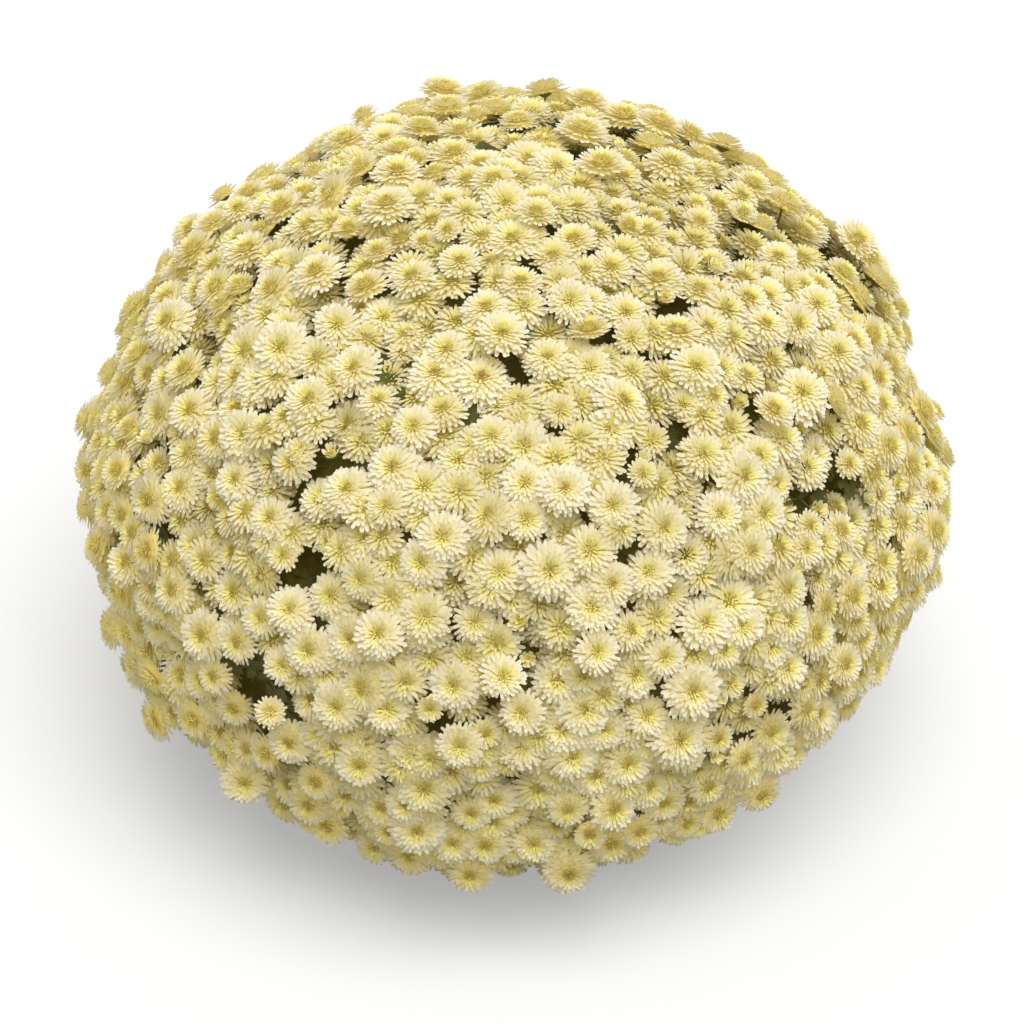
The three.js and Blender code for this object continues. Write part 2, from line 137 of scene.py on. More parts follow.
# Leaves: the reach of their lobes, their lengths and depths in mm, and how far their faces
# turn from the dome's
LOBES = ((0.16, 0.24, 0.17), (0.2, 0.2, 0.14), (0.13, 0.26, 0.2))
CANOPY_LEAF_LENGTHS = (32, 48)
CANOPY_LEAF_PLACES = (0.5, 0.95)
CANOPY_LEAF_TURN = 0.22
CANOPY_LEAF_SHARE = 0.3
LOW_LEAF_SHARE = 0.6
BRANCH_LEAF_LENGTHS = (62, 84)
BRANCH_LEAF_PLACES = (0.35, 0.65, 0.95)
BRANCH_LEAF_TURN = 0.4
SHOOT_LEAF_LENGTHS = (78, 100)
SHOOT_LEAF_PLACES = (0.3, 0.38, 0.46, 0.54, 0.62, 0.7, 0.78, 0.86)
GAP_LEAVES = 3
GAP_LEAF_LENGTHS = (34, 46)
GAP_LEAF_DEPTHS = (30, 42)
GAP_LEAF_ASIDE = 18
INNER_LEAF_LENGTHS = (50, 70)
INNER_LEAF_DEPTHS = (36, 54)
INNER_LEAF_TURN = 0.25
INNER_LEAF_MARGIN = 60 * MM

# Stalks and branches
STALK_RADIUS = 0.75 * MM
STALK_START = 1.5 * MM
FORK_DEPTH = 46 * MM
BRANCH_COUNT = 6
BRANCH_PLACES = (0.6, 0.82)
BRANCH_SPREAD = 0.62
BRANCH_RADIUS = 2 * MM
BRANCH_TIP_RADIUS = 1.4 * MM
SHOOT_END_DEPTH = 26 * MM

# Stems and pot, as in the frame
TRUNK_RADIUS = 13 * MM
TRUNK_FOOT_RADIUS = 15.5 * MM
TRUNK_TOP = 214 * MM
TRUNK_FOOT_DEPTH = 70 * MM
LOWEST_SHOOT = 165 * MM
SHOOT_RADIUS = 3.6 * MM
SHOOT_TIP_RADIUS = 2.4 * MM
SHOOT_BOW = 12 * MM
LIP_CLEARANCE = 30 * MM
POT_HEIGHT = 178 * MM
POT_BASE_RADIUS = 100 * MM
POT_TOP_RADIUS = 128 * MM
POT_WALL = 2.6 * MM
POT_FLOOR = 3.2 * MM
POT_SIDES = 72
LIP_WIDTH = 6 * MM
LIP_HEIGHT = 15 * MM
LIP_EDGE = 3 * MM
BASE_CHAMFER = 3 * MM
EDGE_ROUNDING = 0.6 * MM
DRAIN_HOLES = 4
DRAIN_RADIUS = 7 * MM
DRAIN_CIRCLE = 72 * MM
SOIL_HEIGHT = 160 * MM
SOIL_MOUND = 3 * MM
SOIL_WALL_GAP = 1.2 * MM
SOIL_LUMPS = 2.4 * MM
CRUMBS = 150
CRUMB_SIZES = (1.6, 4.6)
PERLITE = 70
PERLITE_SIZES = (1.2, 2.4)
CLEARANCE = 0.35 * MM

# Light: energy, angular size, and tilt to the front and to the right in degrees
KEY_LIGHT = (2.16, 46, 24, 9)
OVERHEAD_LIGHT = (0.84, 170, -32, 0)
ROOM_GLOW = 0.09
FLOOR_SIZE = 16
WALL_RADIUS = 8

# Camera
CAMERA_ELEVATION = math.radians(36)
CAMERA_DISTANCE = 2.1
CAMERA_AIM = Vector((-1 * MM, 0, 178 * MM))
CAMERA_LENS = 106.5
CAMERA_SENSOR = 36

random_draw = random.Random(7)


# Modelling by hand: small helpers for edit mode


def drop_selection():
    """Nothing selected and nothing active, so that the next operator acts on its own piece."""
    bpy.ops.object.select_all(action="DESELECT")
    bpy.context.view_layer.objects.active = None


def take(piece):
    """Only this piece selected, and active."""
    drop_selection()
    piece.select_set(True)
    bpy.context.view_layer.objects.active = piece
    return piece


def added(name):
    """The primitive that was just added, named."""
    piece = bpy.context.object
    piece.name = name
    piece.data.name = name
    return piece


def primitive(add, name, scale=(1, 1, 1), **settings):
    """A new primitive, with its place, turn and scale taken into its mesh."""
    drop_selection()
    add(**settings)
    piece = take(added(name))
    piece.scale = scale
    bpy.ops.object.transform_apply(location=True, rotation=True, scale=True)
    return piece


def pick(piece, kind, test):
    """In edit mode, selects the vertices, edges or faces whose middle passes the test."""
    bpy.ops.mesh.select_mode(type=kind)
    bpy.ops.mesh.select_all(action="DESELECT")
    mesh = bmesh.from_edit_mesh(piece.data)
    if kind == "VERT":
        for vertex in mesh.verts:
            vertex.select_set(test(vertex.co))
    elif kind == "EDGE":
        for edge in mesh.edges:
            edge.select_set(test((edge.verts[0].co + edge.verts[1].co) / 2))
    else:
        for face in mesh.faces:
            face.select_set(test(face.calc_center_median()))
    mesh.select_flush_mode()
    bmesh.update_edit_mesh(piece.data)


def extrude(*step):
    """In edit mode, draws new faces out of the selected edges."""
    bpy.ops.mesh.extrude_edges_move(TRANSFORM_OT_translate={"value": step})


def move(*step):
    """In edit mode, moves what is selected."""
    bpy.ops.transform.translate(value=step)


def stretch(*factors, about=(0, 0, 0)):
    """In edit mode, scales what is selected about a point."""
    bpy.ops.transform.resize(value=factors, center_override=about)


def face_outwards():
    """In edit mode, turns all faces outwards."""
    bpy.ops.mesh.select_all(action="SELECT")
    bpy.ops.mesh.normals_make_consistent(inside=False)


def copy_of(piece, name, matrix):
    """A copy with its own mesh, put in place in its mesh."""
    twin = piece.copy()
    twin.data = piece.data.copy()
    twin.name = name
    twin.data.name = name
    twin.data.transform(matrix)
    bpy.context.scene.collection.objects.link(twin)
    return twin


def joined(pieces, name):
    """Several pieces as one."""
    drop_selection()
    for piece in pieces:
        piece.select_set(True)
    bpy.context.view_layer.objects.active = pieces[0]
    bpy.ops.object.join()
    return added(name)


def give(piece, name, values):
    """A number for each vertex, or one for all, that the finish reads."""
    attribute = piece.data.attributes.get(name)
    if attribute is None:
        attribute = piece.data.attributes.new(name, "FLOAT", "POINT")
    count = len(piece.data.vertices)
    attribute.data.foreach_set("value", np.broadcast_to(np.float32(values), count).copy())


def places(piece):
    """All vertices' places, as rows of x, y and z."""
    flat = np.empty(3 * len(piece.data.vertices), np.float32)
    piece.data.vertices.foreach_get("co", flat)
    return flat.reshape(-1, 3)


def finish_piece(piece, material, node=None):
    """Puts the finish on a piece, which may stand for a node of the frame."""
    piece.data.materials.clear()
    piece.data.materials.append(material)
    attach(piece, "root")
    if node:
        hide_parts(node)


# Petals, modelled once each


def start_petal(name, width_at, shoulder_at):
    """A petal's flat stretch from its widest place to its shoulder, left in edit mode."""
    reach = (shoulder_at - width_at, 1, 1)
    middle = ((shoulder_at + width_at) / 2, 0, 0)
    petal = primitive(bpy.ops.mesh.primitive_plane_add, name, reach, size=1, location=middle)
    bpy.ops.object.mode_set(mode="EDIT")
    return petal


def close_petal(petal, width_at, root_drop):
    """Draws a petal in from its widest place to a point at its root."""
    pick(petal, "VERT", lambda co: co.x < width_at + 1e-4)
    extrude(-width_at, 0, -root_drop)
    bpy.ops.mesh.merge(type="CENTER")
    bpy.ops.object.mode_set(mode="OBJECT")
    bpy.ops.object.shade_smooth()
    give(petal, "along", places(petal)[:, 0])
    return petal


def shape_spoon(name, width_at, shoulder_at, shoulder_width, fold, tip_lift, root_drop):
    """A petal of unit length along +X and unit width, its face up: it widens from its root,
    is folded along its middle and ends in a rounded spoon."""
    petal = start_petal(name, width_at, shoulder_at)
    bpy.ops.mesh.select_all(action="SELECT")
    bpy.ops.mesh.bisect(plane_co=(0, 0, 0), plane_no=(0, 1, 0))
    pick(petal, "VERT", lambda co: co.x > shoulder_at - 1e-4)
    stretch(1, shoulder_width, 1)
    move(0, 0, tip_lift / 2)
    pick(petal, "VERT", lambda co: abs(co.y) < 1e-4)
    move(0, 0, -fold)
    pick(petal, "VERT", lambda co: co.x > shoulder_at - 1e-4 and abs(co.y) < 1e-4)
    move(1 - shoulder_at, 0, fold + tip_lift / 2)
    return close_petal(petal, width_at, root_drop)


def shape_tongue(name, width_at, tip_width, shoulder_at=1, tip_lift=0, root_drop=0):
    """A plainer petal for rows of which only the tips show."""
    petal = start_petal(name, width_at, shoulder_at)
    pick(petal, "VERT", lambda co: co.x > shoulder_at - 1e-4)
    stretch(1, tip_width, 1)
    move(0, 0, tip_lift)
    if shoulder_at < 1:
        extrude(1 - shoulder_at, 0, tip_lift / 2)
        bpy.ops.mesh.merge(type="CENTER")
    return close_petal(petal, width_at, root_drop)


def petal_kinds():
    """One petal of each kind, from the outside in."""
    return {
        "fringe": shape_spoon("fringe_petal", width_at=0.55, shoulder_at=0.92, shoulder_width=0.8,
                              fold=0.03, tip_lift=0.03, root_drop=0.04),
        "scale": shape_tongue("scale_petal", width_at=0.55, shoulder_at=0.9, tip_width=0.82),
        "tongue": shape_tongue("tongue_petal", width_at=0.52, tip_width=0.6, tip_lift=-0.11),
        "cupped": shape_tongue("cupped_petal", width_at=0.55, tip_width=0.6, tip_lift=-0.14),
        "floret": shape_tongue("floret", width_at=0.66, tip_width=0.45, tip_lift=-0.12, root_drop=-0.08),
        "receptacle": receptacle(),
    }


def receptacle():
    """The low cone that the petals grow from, and that closes the gaps between them."""
    cone = primitive(bpy.ops.mesh.primitive_cone_add, "receptacle", vertices=8, radius1=1 * MM,
                     depth=CONE_DEPTH, end_fill_type="NOTHING", location=(0, 0, CONE_MIDDLE))
    bpy.ops.object.shade_smooth()
    give(cone, "along", 0.0)
    return cone


# Blooms, built up in rows from the outside in


def petal_matrix(azimuth, base_radius, base_height, pitch, roll, size):
    """A petal stands at its root's radius and height, turned, pitched up and rolled."""
    turn = Matrix.Rotation(azimuth, 4, "Z") @ Matrix.Translation((base_radius, 0, base_height))
    tilt = Matrix.Rotation(-pitch, 4, "Y") @ Matrix.Rotation(roll, 4, "X")
    return turn @ tilt @ Matrix.Diagonal((*size, 1))


def build_bloom(name, kinds, rows, openness, seed):
    """A bloom on its own axis, its base at the origin, 32 mm wide when open.

    A row is (kind, count, base radius, base height, length, width, pitch in degrees).
    """
    draw = random.Random(seed)
    petals = []
    for number, (kind, count, radius, height, length, width, pitch) in enumerate(rows):
        start = draw.random() * math.tau
        for k in range(count):
            azimuth = start + math.tau * (k + draw.uniform(-PETAL_TURN, PETAL_TURN)) / count
            lean = math.radians(90 - (90 - pitch) * openness + draw.uniform(-PETAL_LEAN, PETAL_LEAN))
            reach = length * draw.uniform(*PETAL_LENGTHS) * MM
            size = (reach, width * draw.uniform(*PETAL_WIDTHS) * MM, reach)
            roll = math.radians(draw.uniform(-PETAL_ROLL, PETAL_ROLL))
            place = petal_matrix(azimuth, radius * MM, height * MM, lean, roll, size)
            petal = copy_of(kinds[kind], f"{name}_petal", place)
            give(petal, "ring", number / (len(rows) - 1))
            give(petal, "streak", draw.random())
            petals.append(petal)
    _, _, radius, _, length, _, pitch = rows[0]
    spread = CONE_SHARE * (radius + length * math.cos(math.radians(pitch)))
    middle = copy_of(kinds["receptacle"], f"{name}_middle", Matrix.Diagonal((spread, spread, 1, 1)))
    give(middle, "ring", np.where(places(middle)[:, 2] > CONE_MIDDLE, 1, CONE_EDGE_RING))
    give(middle, "streak", 0.0)
    return joined([*petals, middle], name)


OPEN_ROWS = [
    ("fringe", 26, 4.2, 2.2, 12.0, 2.6, -4),
    ("scale", 25, 4.2, 3.4, 11.0, 2.6, 8),
    ("scale", 24, 4.0, 4.4, 9.6, 2.5, 19),
    ("tongue", 21, 3.8, 5.4, 8.2, 2.4, 31),
    ("tongue", 18, 3.4, 6.2, 6.6, 2.3, 42),
    ("cupped", 15, 2.9, 6.8, 5.2, 2.0, 52),
    ("floret", 12, 2.2, 7.0, 4.0, 1.3, 56),
    ("floret", 8, 1.2, 7.0, 4.0, 1.3, 66),
    ("floret", 5, 0.4, 7.0, 3.8, 1.2, 78),
]
HALF_ROWS = [
    ("fringe", 24, 4.0, 2.2, 11.4, 2.6, 2),
    ("scale", 23, 4.0, 3.4, 10.4, 2.5, 15),
    ("scale", 22, 3.9, 4.4, 9.0, 2.4, 27),
    ("tongue", 19, 3.7, 5.4, 7.4, 2.2, 38),
    ("cupped", 16, 3.5, 6.2, 6.0, 2.0, 48),
    ("floret", 14, 2.9, 6.6, 4.6, 1.4, 54),
    ("floret", 12, 2.0, 6.8, 4.4, 1.3, 62),
    ("floret", 8, 1.1, 6.8, 4.4, 1.3, 70),
    ("floret", 5, 0.3, 6.8, 4.2, 1.2, 80),
]
YOUNG_ROWS = [
    ("fringe", 20, 3.6, 2.4, 9.6, 2.4, 12),
    ("scale", 20, 3.6, 3.4, 9.0, 2.2, 27),
    ("tongue", 18, 3.5, 4.4, 8.0, 2.0, 38),
    ("cupped", 15, 3.2, 5.2, 7.0, 1.6, 48),
    ("floret", 13, 2.8, 6.0, 5.8, 1.4, 55),
    ("floret", 10, 1.8, 6.4, 5.4, 1.3, 62),
    ("floret", 7, 0.9, 6.6, 5.2, 1.3, 70),
    ("floret", 5, 0.2, 6.8, 4.8, 1.2, 80),
]
BUD_ROWS = [
    ("cupped", 9, 3.4, 1.8, 6.0, 3.4, 72),
    ("cupped", 7, 2.2, 2.4, 6.4, 3.0, 80),
    ("floret", 5, 0.8, 3.0, 6.0, 2.4, 86),
]
TUCKED_ROWS = [
    ("scale", 21, 4.0, 2.4, 11.2, 2.8, 2),
    ("tongue", 19, 4.0, 3.8, 9.8, 2.7, 16),
    ("tongue", 16, 3.8, 5.0, 8.0, 2.6, 30),
    ("cupped", 13, 3.2, 6.0, 6.4, 2.0, 42),
    ("floret", 11, 2.4, 6.6, 4.8, 1.8, 54),
    ("floret", 7, 0.8, 6.8, 4.6, 1.7, 66),
]


# The dome, as in the frame: a spheroid on the lower half of a deeper one


def draw_stream(seed):
    """The seeded stream of numbers from 0 to 1 that the sprays' layout uses."""
    state = seed
    while True:
        state = (state * 1664525 + 1013904223) % 2**32
        yield state / 2**32


def outward(azimuth):
    """The level direction at an azimuth from the front."""
    return Vector((math.sin(azimuth), -math.cos(azimuth), 0))


def semi_axis(latitude):
    return CROWN_RISE if latitude > 0 else SKIRT_SEMI_AXIS


def dome_point(latitude, azimuth):
    point = outward(azimuth) * DOME_RADIUS * math.cos(latitude)
    point.z = EQUATOR_HEIGHT + semi_axis(latitude) * math.sin(latitude)
    return point


def dome_normal(latitude, azimuth):
    normal = outward(azimuth) * math.cos(latitude) / DOME_RADIUS
    normal.z = math.sin(latitude) / semi_axis(latitude)
    return normal.normalized()


def rim_height(azimuth):
    wave = RIM_WAVE * math.cos(3 * azimuth) + RIM_FULLNESS * math.sin(3 * azimuth) ** 2
    return EQUATOR_HEIGHT - RIM_DROP - wave


def dome_bands(drop):
    """The dome's running area from the crown down, and the bands' height in latitude."""
    lowest = -math.asin(drop / SKIRT_SEMI_AXIS)
    step = (math.pi / 2 - lowest) / DOME_BANDS
    area = [0]
    for k in range(DOME_BANDS):
        latitude = math.pi / 2 - (k + 0.5) * step
        radius = DOME_RADIUS * math.cos(latitude)
        slope = math.hypot(DOME_RADIUS * math.sin(latitude), semi_axis(latitude) * math.cos(latitude))
        area.append(area[k] + math.tau * radius * slope * step)
    return area, step


def spiral_over(bands, count):
    """Spots on a golden-angle spiral, each with the same share of the bands' area."""
    area, step = bands
    k = 0
    for i in range(count):
        target = area[DOME_BANDS] * (i + 0.5) / count
        while area[k + 1] < target:
            k += 1
        part = (target - area[k]) / (area[k + 1] - area[k])
        yield math.pi / 2 - (k + part) * step, i * GOLDEN_ANGLE


class Site:
    """A place on the dome for one bloom."""

    def __init__(self, latitude, azimuth, depth, sprays, draw, tucked=False):
        self.tucked = tucked
        self.smooth = dome_point(latitude, azimuth)
        self.normal = dome_normal(latitude, azimuth)
        self.above_rim = self.smooth.z - rim_height(azimuth)
        distances = [(centre - self.smooth).length for centre in sprays]
        self.spray = distances.index(min(distances))
        edge = min(distances[self.spray] / SPRAY_REACH, 1)
        step = draw.uniform(-STEP_OUT, STEP_IN)
        if not tucked and draw.random() < STRAY_SHARE:
            step = -STRAY_OUT
        lump = LUMP_HEIGHT * noise.noise(self.smooth / LUMP_SIZE)
        inwards = SPRAY_BULGE * edge**2 - lump + INSET + self.dent()
        self.surface = self.smooth - self.normal * inwards
        self.point = self.surface - self.normal * (depth + step) + self.aside_from_gaps()
        if not tucked:
            self.point += Vector([draw.uniform(-SHIFT, SHIFT) for _ in range(3)])

    def dent(self):
        """How far the dome is pressed in here."""
        depth = 0
        for azimuth, latitude, half_width, deepest in DENTS:
            away = (self.smooth - dome_point(math.radians(latitude), math.radians(azimuth))).length
            depth += deepest * MM * math.exp(-((away / (half_width * MM)) ** 2))
        return depth

    def aside_from_gaps(self):
        """The shift that keeps a gap's middle clear."""
        shift = Vector()
        for azimuth, latitude, half_width in GAPS:
            away = self.smooth - dome_point(math.radians(latitude), math.radians(azimuth))
            clear = GAP_EDGE + half_width * MM
            if away.length < clear:
                shift += away.normalized() * (clear - away.length)
        return shift

    def in_gap(self):
        return self.aside_from_gaps().length > 0

    def sinks(self, piece):
        """Gives each vertex its depth below the plant's surface here, as a share of the deepest, for the
        finishes' painted shade.
        """
        depth = (np.array(self.surface) - places(piece)) @ np.array(self.normal)
        give(piece, "sunk", depth / SUNK_FULL)
        return piece


def lay_out_blooms():
    """The outer blooms, where the frame has them, and the ones tucked in between."""
    sprays = [dome_point(*spot) for spot in spiral_over(dome_bands(RIM_DROP), SPRAY_COUNT)]
    stream = draw_stream(LAYOUT_SEED)
    bands = dome_bands(RIM_DROP + RIM_WAVE + GHOST_BAND)
    count = round(bands[0][DOME_BANDS] / (BLOOM_SPACING**2 * math.sqrt(3) / 2))
    shift = BLOOM_SPACING * SPACING_JITTER
    outer = []
    for latitude, azimuth in spiral_over(bands, count):
        radius = DOME_RADIUS * max(math.cos(latitude), 0.05)
        latitude += (next(stream) * 2 - 1) * shift / DOME_RADIUS
        azimuth += (next(stream) * 2 - 1) * shift / radius
        depth = next(stream) * EYE_HEIGHT_JITTER
        site = Site(min(latitude, math.pi / 2), azimuth, depth, sprays, random_draw)
        if site.smooth.z >= rim_height(azimuth) + RIM_MARGIN:
            outer.append(site)
    tucked = []
    taken = np.array([site.smooth + site.aside_from_gaps() for site in outer])
    for latitude, azimuth in spiral_over(bands, TUCKED_SPOTS):
        point = np.array(dome_point(latitude, azimuth))
        if point[2] < rim_height(azimuth) + RIM_MARGIN * 0.5:
            continue
        if np.min(np.sum((taken - point) ** 2, 1)) < TUCKED_FROM_OUTER**2:
            continue
        others = np.array([site.smooth for site in tucked]) if tucked else taken
        if np.min(np.sum((others - point) ** 2, 1)) < TUCKED_APART**2:
            continue
        site = Site(latitude, azimuth, TUCKED_DEPTH, sprays, random_draw, True)
        if not site.in_gap():
            tucked.append(site)
    return sprays, outer, tucked


# Finish


class Sum:
    """A shader value on which expressions add their Math nodes."""

    def __init__(self, finish, socket):
        self.finish = finish
        self.socket = socket

    def _with(self, operation, other, swapped=False):
        values = [other, self] if swapped else [self, other]
        return self.finish.node("ShaderNodeMath", {"operation": operation}, values)

    def __add__(self, other):
        return self._with("ADD", other)

    def __radd__(self, other):
        return self._with("ADD", other, True)

    def __sub__(self, other):
        return self._with("SUBTRACT", other)

    def __rsub__(self, other):
        return self._with("SUBTRACT", other, True)

    def __mul__(self, other):
        return self._with("MULTIPLY", other)

    def __rmul__(self, other):
        return self._with("MULTIPLY", other, True)

    def within(self, low, high):
        """0 below low, 1 above high, and a smooth rise between."""
        settings = {"interpolation_type": "SMOOTHSTEP"}
        return self.finish.node("ShaderNodeMapRange", settings, [self, low, high, 0, 1])


class Finish:
    """A material that is put together node by node."""

    def __init__(self, name, **constants):
        self.material = bpy.data.materials.new(name)
        self.material.use_nodes = True
        self.tree = self.material.node_tree
        self.shader = self.tree.nodes["Principled BSDF"]
        for socket, value in constants.items():
            self.shader.inputs[socket.replace("_", " ")].default_value = value

    def node(self, kind, settings, values, output=0):
        """A node of that type. Values go to its sockets in order or by name."""
        node = self.tree.nodes.new(kind)
        for setting, value in settings.items():
            setattr(node, setting, value)
        pairs = values.items() if isinstance(values, dict) else enumerate(values)
        for socket, value in pairs:
            self.feed(node.inputs[socket], value)
        return Sum(self, node.outputs[output])

    def feed(self, socket, value):
        if isinstance(value, Sum):
            self.tree.links.new(value.socket, socket)
        elif value is not None:
            socket.default_value = value

    def reads(self, attribute):
        """A number that the piece carries at each vertex."""
        return self.node("ShaderNodeAttribute", {"attribute_name": attribute}, [], "Fac")

    def place(self):
        return self.node("ShaderNodeTexCoord", {}, [], "Object")

    def noise(self, scale, detail=2, roughness=0.5, stretch=(1, 1, 1)):
        place = self.node("ShaderNodeVectorMath", {"operation": "MULTIPLY"}, [self.place(), stretch])
        values = {"Vector": place, "Scale": scale, "Detail": detail, "Roughness": roughness}
        return self.node("ShaderNodeTexNoise", {}, values, "Fac")

    def mix(self, share, first, second):
        """The first colour, and the second one where the share is 1."""
        settings = {"data_type": "RGBA", "clamp_factor": True}
        values = {0: share, 6: first, 7: second}
        return self.node("ShaderNodeMix", settings, values, 2)

    def sets(self, socket, value):
        self.feed(self.shader.inputs[socket], value)

    def bump(self, height, strength, distance):
        values = {"Height": height, "Strength": strength, "Distance": distance}
        self.sets("Normal", self.node("ShaderNodeBump", {}, values))


def petal_finish():
    """Cream petals, yellower at their roots and in the young, with a yellow-green heart; painted shade deep
    in the plant, and a painted glow for light through the petals.
    """
    # The petals' emission is a painted glow, not a lamp
    finish = Finish("cream_petal", Roughness=0.62, Specular_IOR_Level=0.2, Emission_Strength=0.125)
    along = finish.reads("along")
    ring = finish.reads("ring")
    youth = finish.reads("youth")
    shade = finish.reads("shade")
    streak = finish.reads("streak")
    sunk = finish.reads("sunk")
    root = (0.92, 0.81, 0.34, 1)
    blade = (0.92, 0.835, 0.54, 1)
    tip = (0.91, 0.855, 0.76, 1)
    inner = (0.94, 0.85, 0.4, 1)
    eye_brown = (0.45, 0.19, 0.02, 1)
    heart_root_and_shade = (0.55, 0.43, 0.08, 1)
    heart_middle_and_shade = (0.36, 0.24, 0.04, 1)
    heart_blade = (0.9, 0.8, 0.2, 1)
    heart_tip = (0.93, 0.86, 0.33, 1)
    aged_and_shaded = (0.7, 0.6, 0.2, 1)
    painted_deep_shade = (0.3, 0.215, 0.025, 1)
    bleached = (0.97, 0.94, 0.8, 1)
    pale = finish.mix(along.within(0.2, 0.75), root, blade)
    pale = finish.mix(along.within(0.55, 0.95) * (1 - 0.45 * youth), pale, tip)
    pale = finish.mix((1 - ring.within(0, 0.35)) * 0.4, pale, tip)
    pale = finish.mix(ring.within(0.25, 0.7) * (0.35 + 0.55 * youth), pale, inner)
    # Heart florets darken towards their roots and the heart's middle: their own deeper yellow-green, and
    # painted shade in the crevices between them
    green = finish.mix(ring.within(0.9, 1.0), heart_root_and_shade, heart_middle_and_shade)
    green = finish.mix(along.within(0.25, 0.7), green, heart_blade)
    green = finish.mix(along.within(0.75, 1.0), green, heart_tip)
    green = finish.mix(finish.reads("eye") * ring.within(0.9, 1.0), green, eye_brown)
    heart = ring.within(0.66 - 0.2 * youth, 0.82 - 0.14 * youth)
    colour = finish.mix(heart, pale, green)
    # The aged tone: real age on some outer blooms, and painted shade on the tucked ones
    colour = finish.mix(shade * 0.3, colour, aged_and_shaded)
    # Deep below the plant's surface the petals darken: painted shade where little light arrives
    depth = sunk.within(0.3, 0.9) * 0.9
    colour = finish.mix(depth, colour, painted_deep_shade)
    colour = finish.mix((streak - 0.5) * 0.14 + finish.noise(900) * 0.1, colour, bleached)
    finish.sets("Base Color", colour)
    # The emission colour is a painted glow for light let through the petals: dimmer at their roots, and
    # dimmed as painted shade deep in the plant
    painted_glow_at_root = (0.35, 0.28, 0.08, 1)
    painted_glow_on_blade = (0.95, 0.88, 0.41, 1)
    painted_glow_in_depth = (0.12, 0.08, 0.01, 1)
    painted_glow_colour = finish.mix(along.within(0, 0.5), painted_glow_at_root, painted_glow_on_blade)
    finish.sets("Emission Color", finish.mix(depth, painted_glow_colour, painted_glow_in_depth))
    return finish.material


def leaf_finish():
    """Dark green leaves with paler veins, and browner stalks, with a faint painted glow and painted shade
    deep in the plant.
    """
    # The faint warm emission is a painted glow that lifts the leaves in shade
    finish = Finish("leaf_green", Roughness=0.55, Specular_IOR_Level=0.25, Emission_Strength=0.022,
                    Emission_Color=(1, 0.7, 0.08, 1))
    along = finish.reads("along")
    across = finish.reads("across")
    midrib = 1 - across.within(0.006, 0.02)
    ribs = finish.node("ShaderNodeMath", {"operation": "PINGPONG"}, [along - across * 0.7, 0.065])
    side_veins = 1 - ribs.within(0.0, 0.012)
    dark_green = (0.06, 0.07, 0.015, 1)
    mid_green = (0.12, 0.125, 0.03, 1)
    vein_green = (0.16, 0.2, 0.05, 1)
    stalk_brown = (0.11, 0.1, 0.03, 1)
    stalk_green = (0.2, 0.2, 0.06, 1)
    painted_deep_shade = (0.05, 0.035, 0.008, 1)
    colour = finish.mix(finish.noise(45), dark_green, mid_green)
    colour = finish.mix(midrib * 0.5 + side_veins * 0.25, colour, vein_green)
    stalky = finish.mix(finish.noise(120), stalk_brown, stalk_green)
    colour = finish.mix(finish.reads("stalky"), colour, stalky)
    # Deep inside the plant the leaves and stalks darken: painted shade
    colour = finish.mix(finish.reads("sunk").within(0.4, 1.8) * 0.6, colour, painted_deep_shade)
    finish.sets("Base Color", colour)
    finish.bump(0 - midrib - side_veins * 0.6 + finish.noise(250) * 0.4, 0.5, 0.6 * MM)
    return finish.material


def bark_finish():
    """Brown bark with a fine grain along the stem."""
    finish = Finish("bark", Roughness=0.85, Specular_IOR_Level=0.2)
    grain = finish.noise(260, 4, 0.6, stretch=(1, 1, 0.14))
    furrow = (0.07, 0.05, 0.025, 1)
    ridge = (0.26, 0.2, 0.11, 1)
    greenish = (0.16, 0.18, 0.07, 1)
    colour = finish.mix(grain.within(0.3, 0.7), furrow, ridge)
    colour = finish.mix(finish.noise(40).within(0.5, 0.7) * 0.5, colour, greenish)
    finish.sets("Base Color", colour)
    finish.bump(grain + finish.noise(900) * 0.3, 0.8, 1.2 * MM)
    return finish.material


def soil_finish():
    """Dark moist peat, with white grains of perlite."""
    finish = Finish("moist_soil", Roughness=0.95, Specular_IOR_Level=0.2)
    crumb = finish.noise(420, 4, 0.7)
    wet_peat = (0.018, 0.011, 0.007, 1)
    dry_peat = (0.085, 0.055, 0.034, 1)
    grey_perlite = (0.55, 0.53, 0.48, 1)
    white_perlite = (0.85, 0.84, 0.8, 1)
    earth = finish.mix(crumb.within(0.35, 0.7), wet_peat, dry_peat)
    white = finish.mix(crumb, grey_perlite, white_perlite)
    finish.sets("Base Color", finish.mix(finish.reads("perlite"), earth, white))
    finish.bump(crumb, 1.0, 1.5 * MM)
    return finish.material


def pot_finish():
    """Moulded charcoal plastic with fine scuffs and some dust of soil."""
    finish = Finish("charcoal_plastic", Specular_IOR_Level=0.45)
    cloud = finish.noise(24, 3)
    scuff = finish.noise(700, 3, 0.7, stretch=(1, 1, 0.08)).within(0.55, 0.75)
    dust = finish.noise(90, 4, 0.65).within(0.52, 0.72)
    charcoal = (0.026, 0.028, 0.031, 1)
    worn_charcoal = (0.042, 0.044, 0.047, 1)
    scuffed = (0.1, 0.1, 0.1, 1)
    dusty = (0.09, 0.075, 0.058, 1)
    colour = finish.mix(cloud, charcoal, worn_charcoal)
    colour = finish.mix(scuff * 0.25, colour, scuffed)
    colour = finish.mix(dust * 0.3, colour, dusty)
    finish.sets("Base Color", colour)
    finish.sets("Roughness", 0.42 + dust * 0.3 + scuff * 0.1)
    finish.bump(finish.noise(1500) + cloud * 0.4, 0.15, 0.3 * MM)
    return finish.material


# Foliage


def lower(piece, from_x, degrees):
    """In edit mode, bends down what lies past a distance from the stalk."""
    pick(piece, "VERT", lambda co: co.x > from_x + 1e-6)
    bpy.ops.transform.rotate(value=math.radians(degrees), orient_axis="Y", center_override=(from_x, 0, 0))


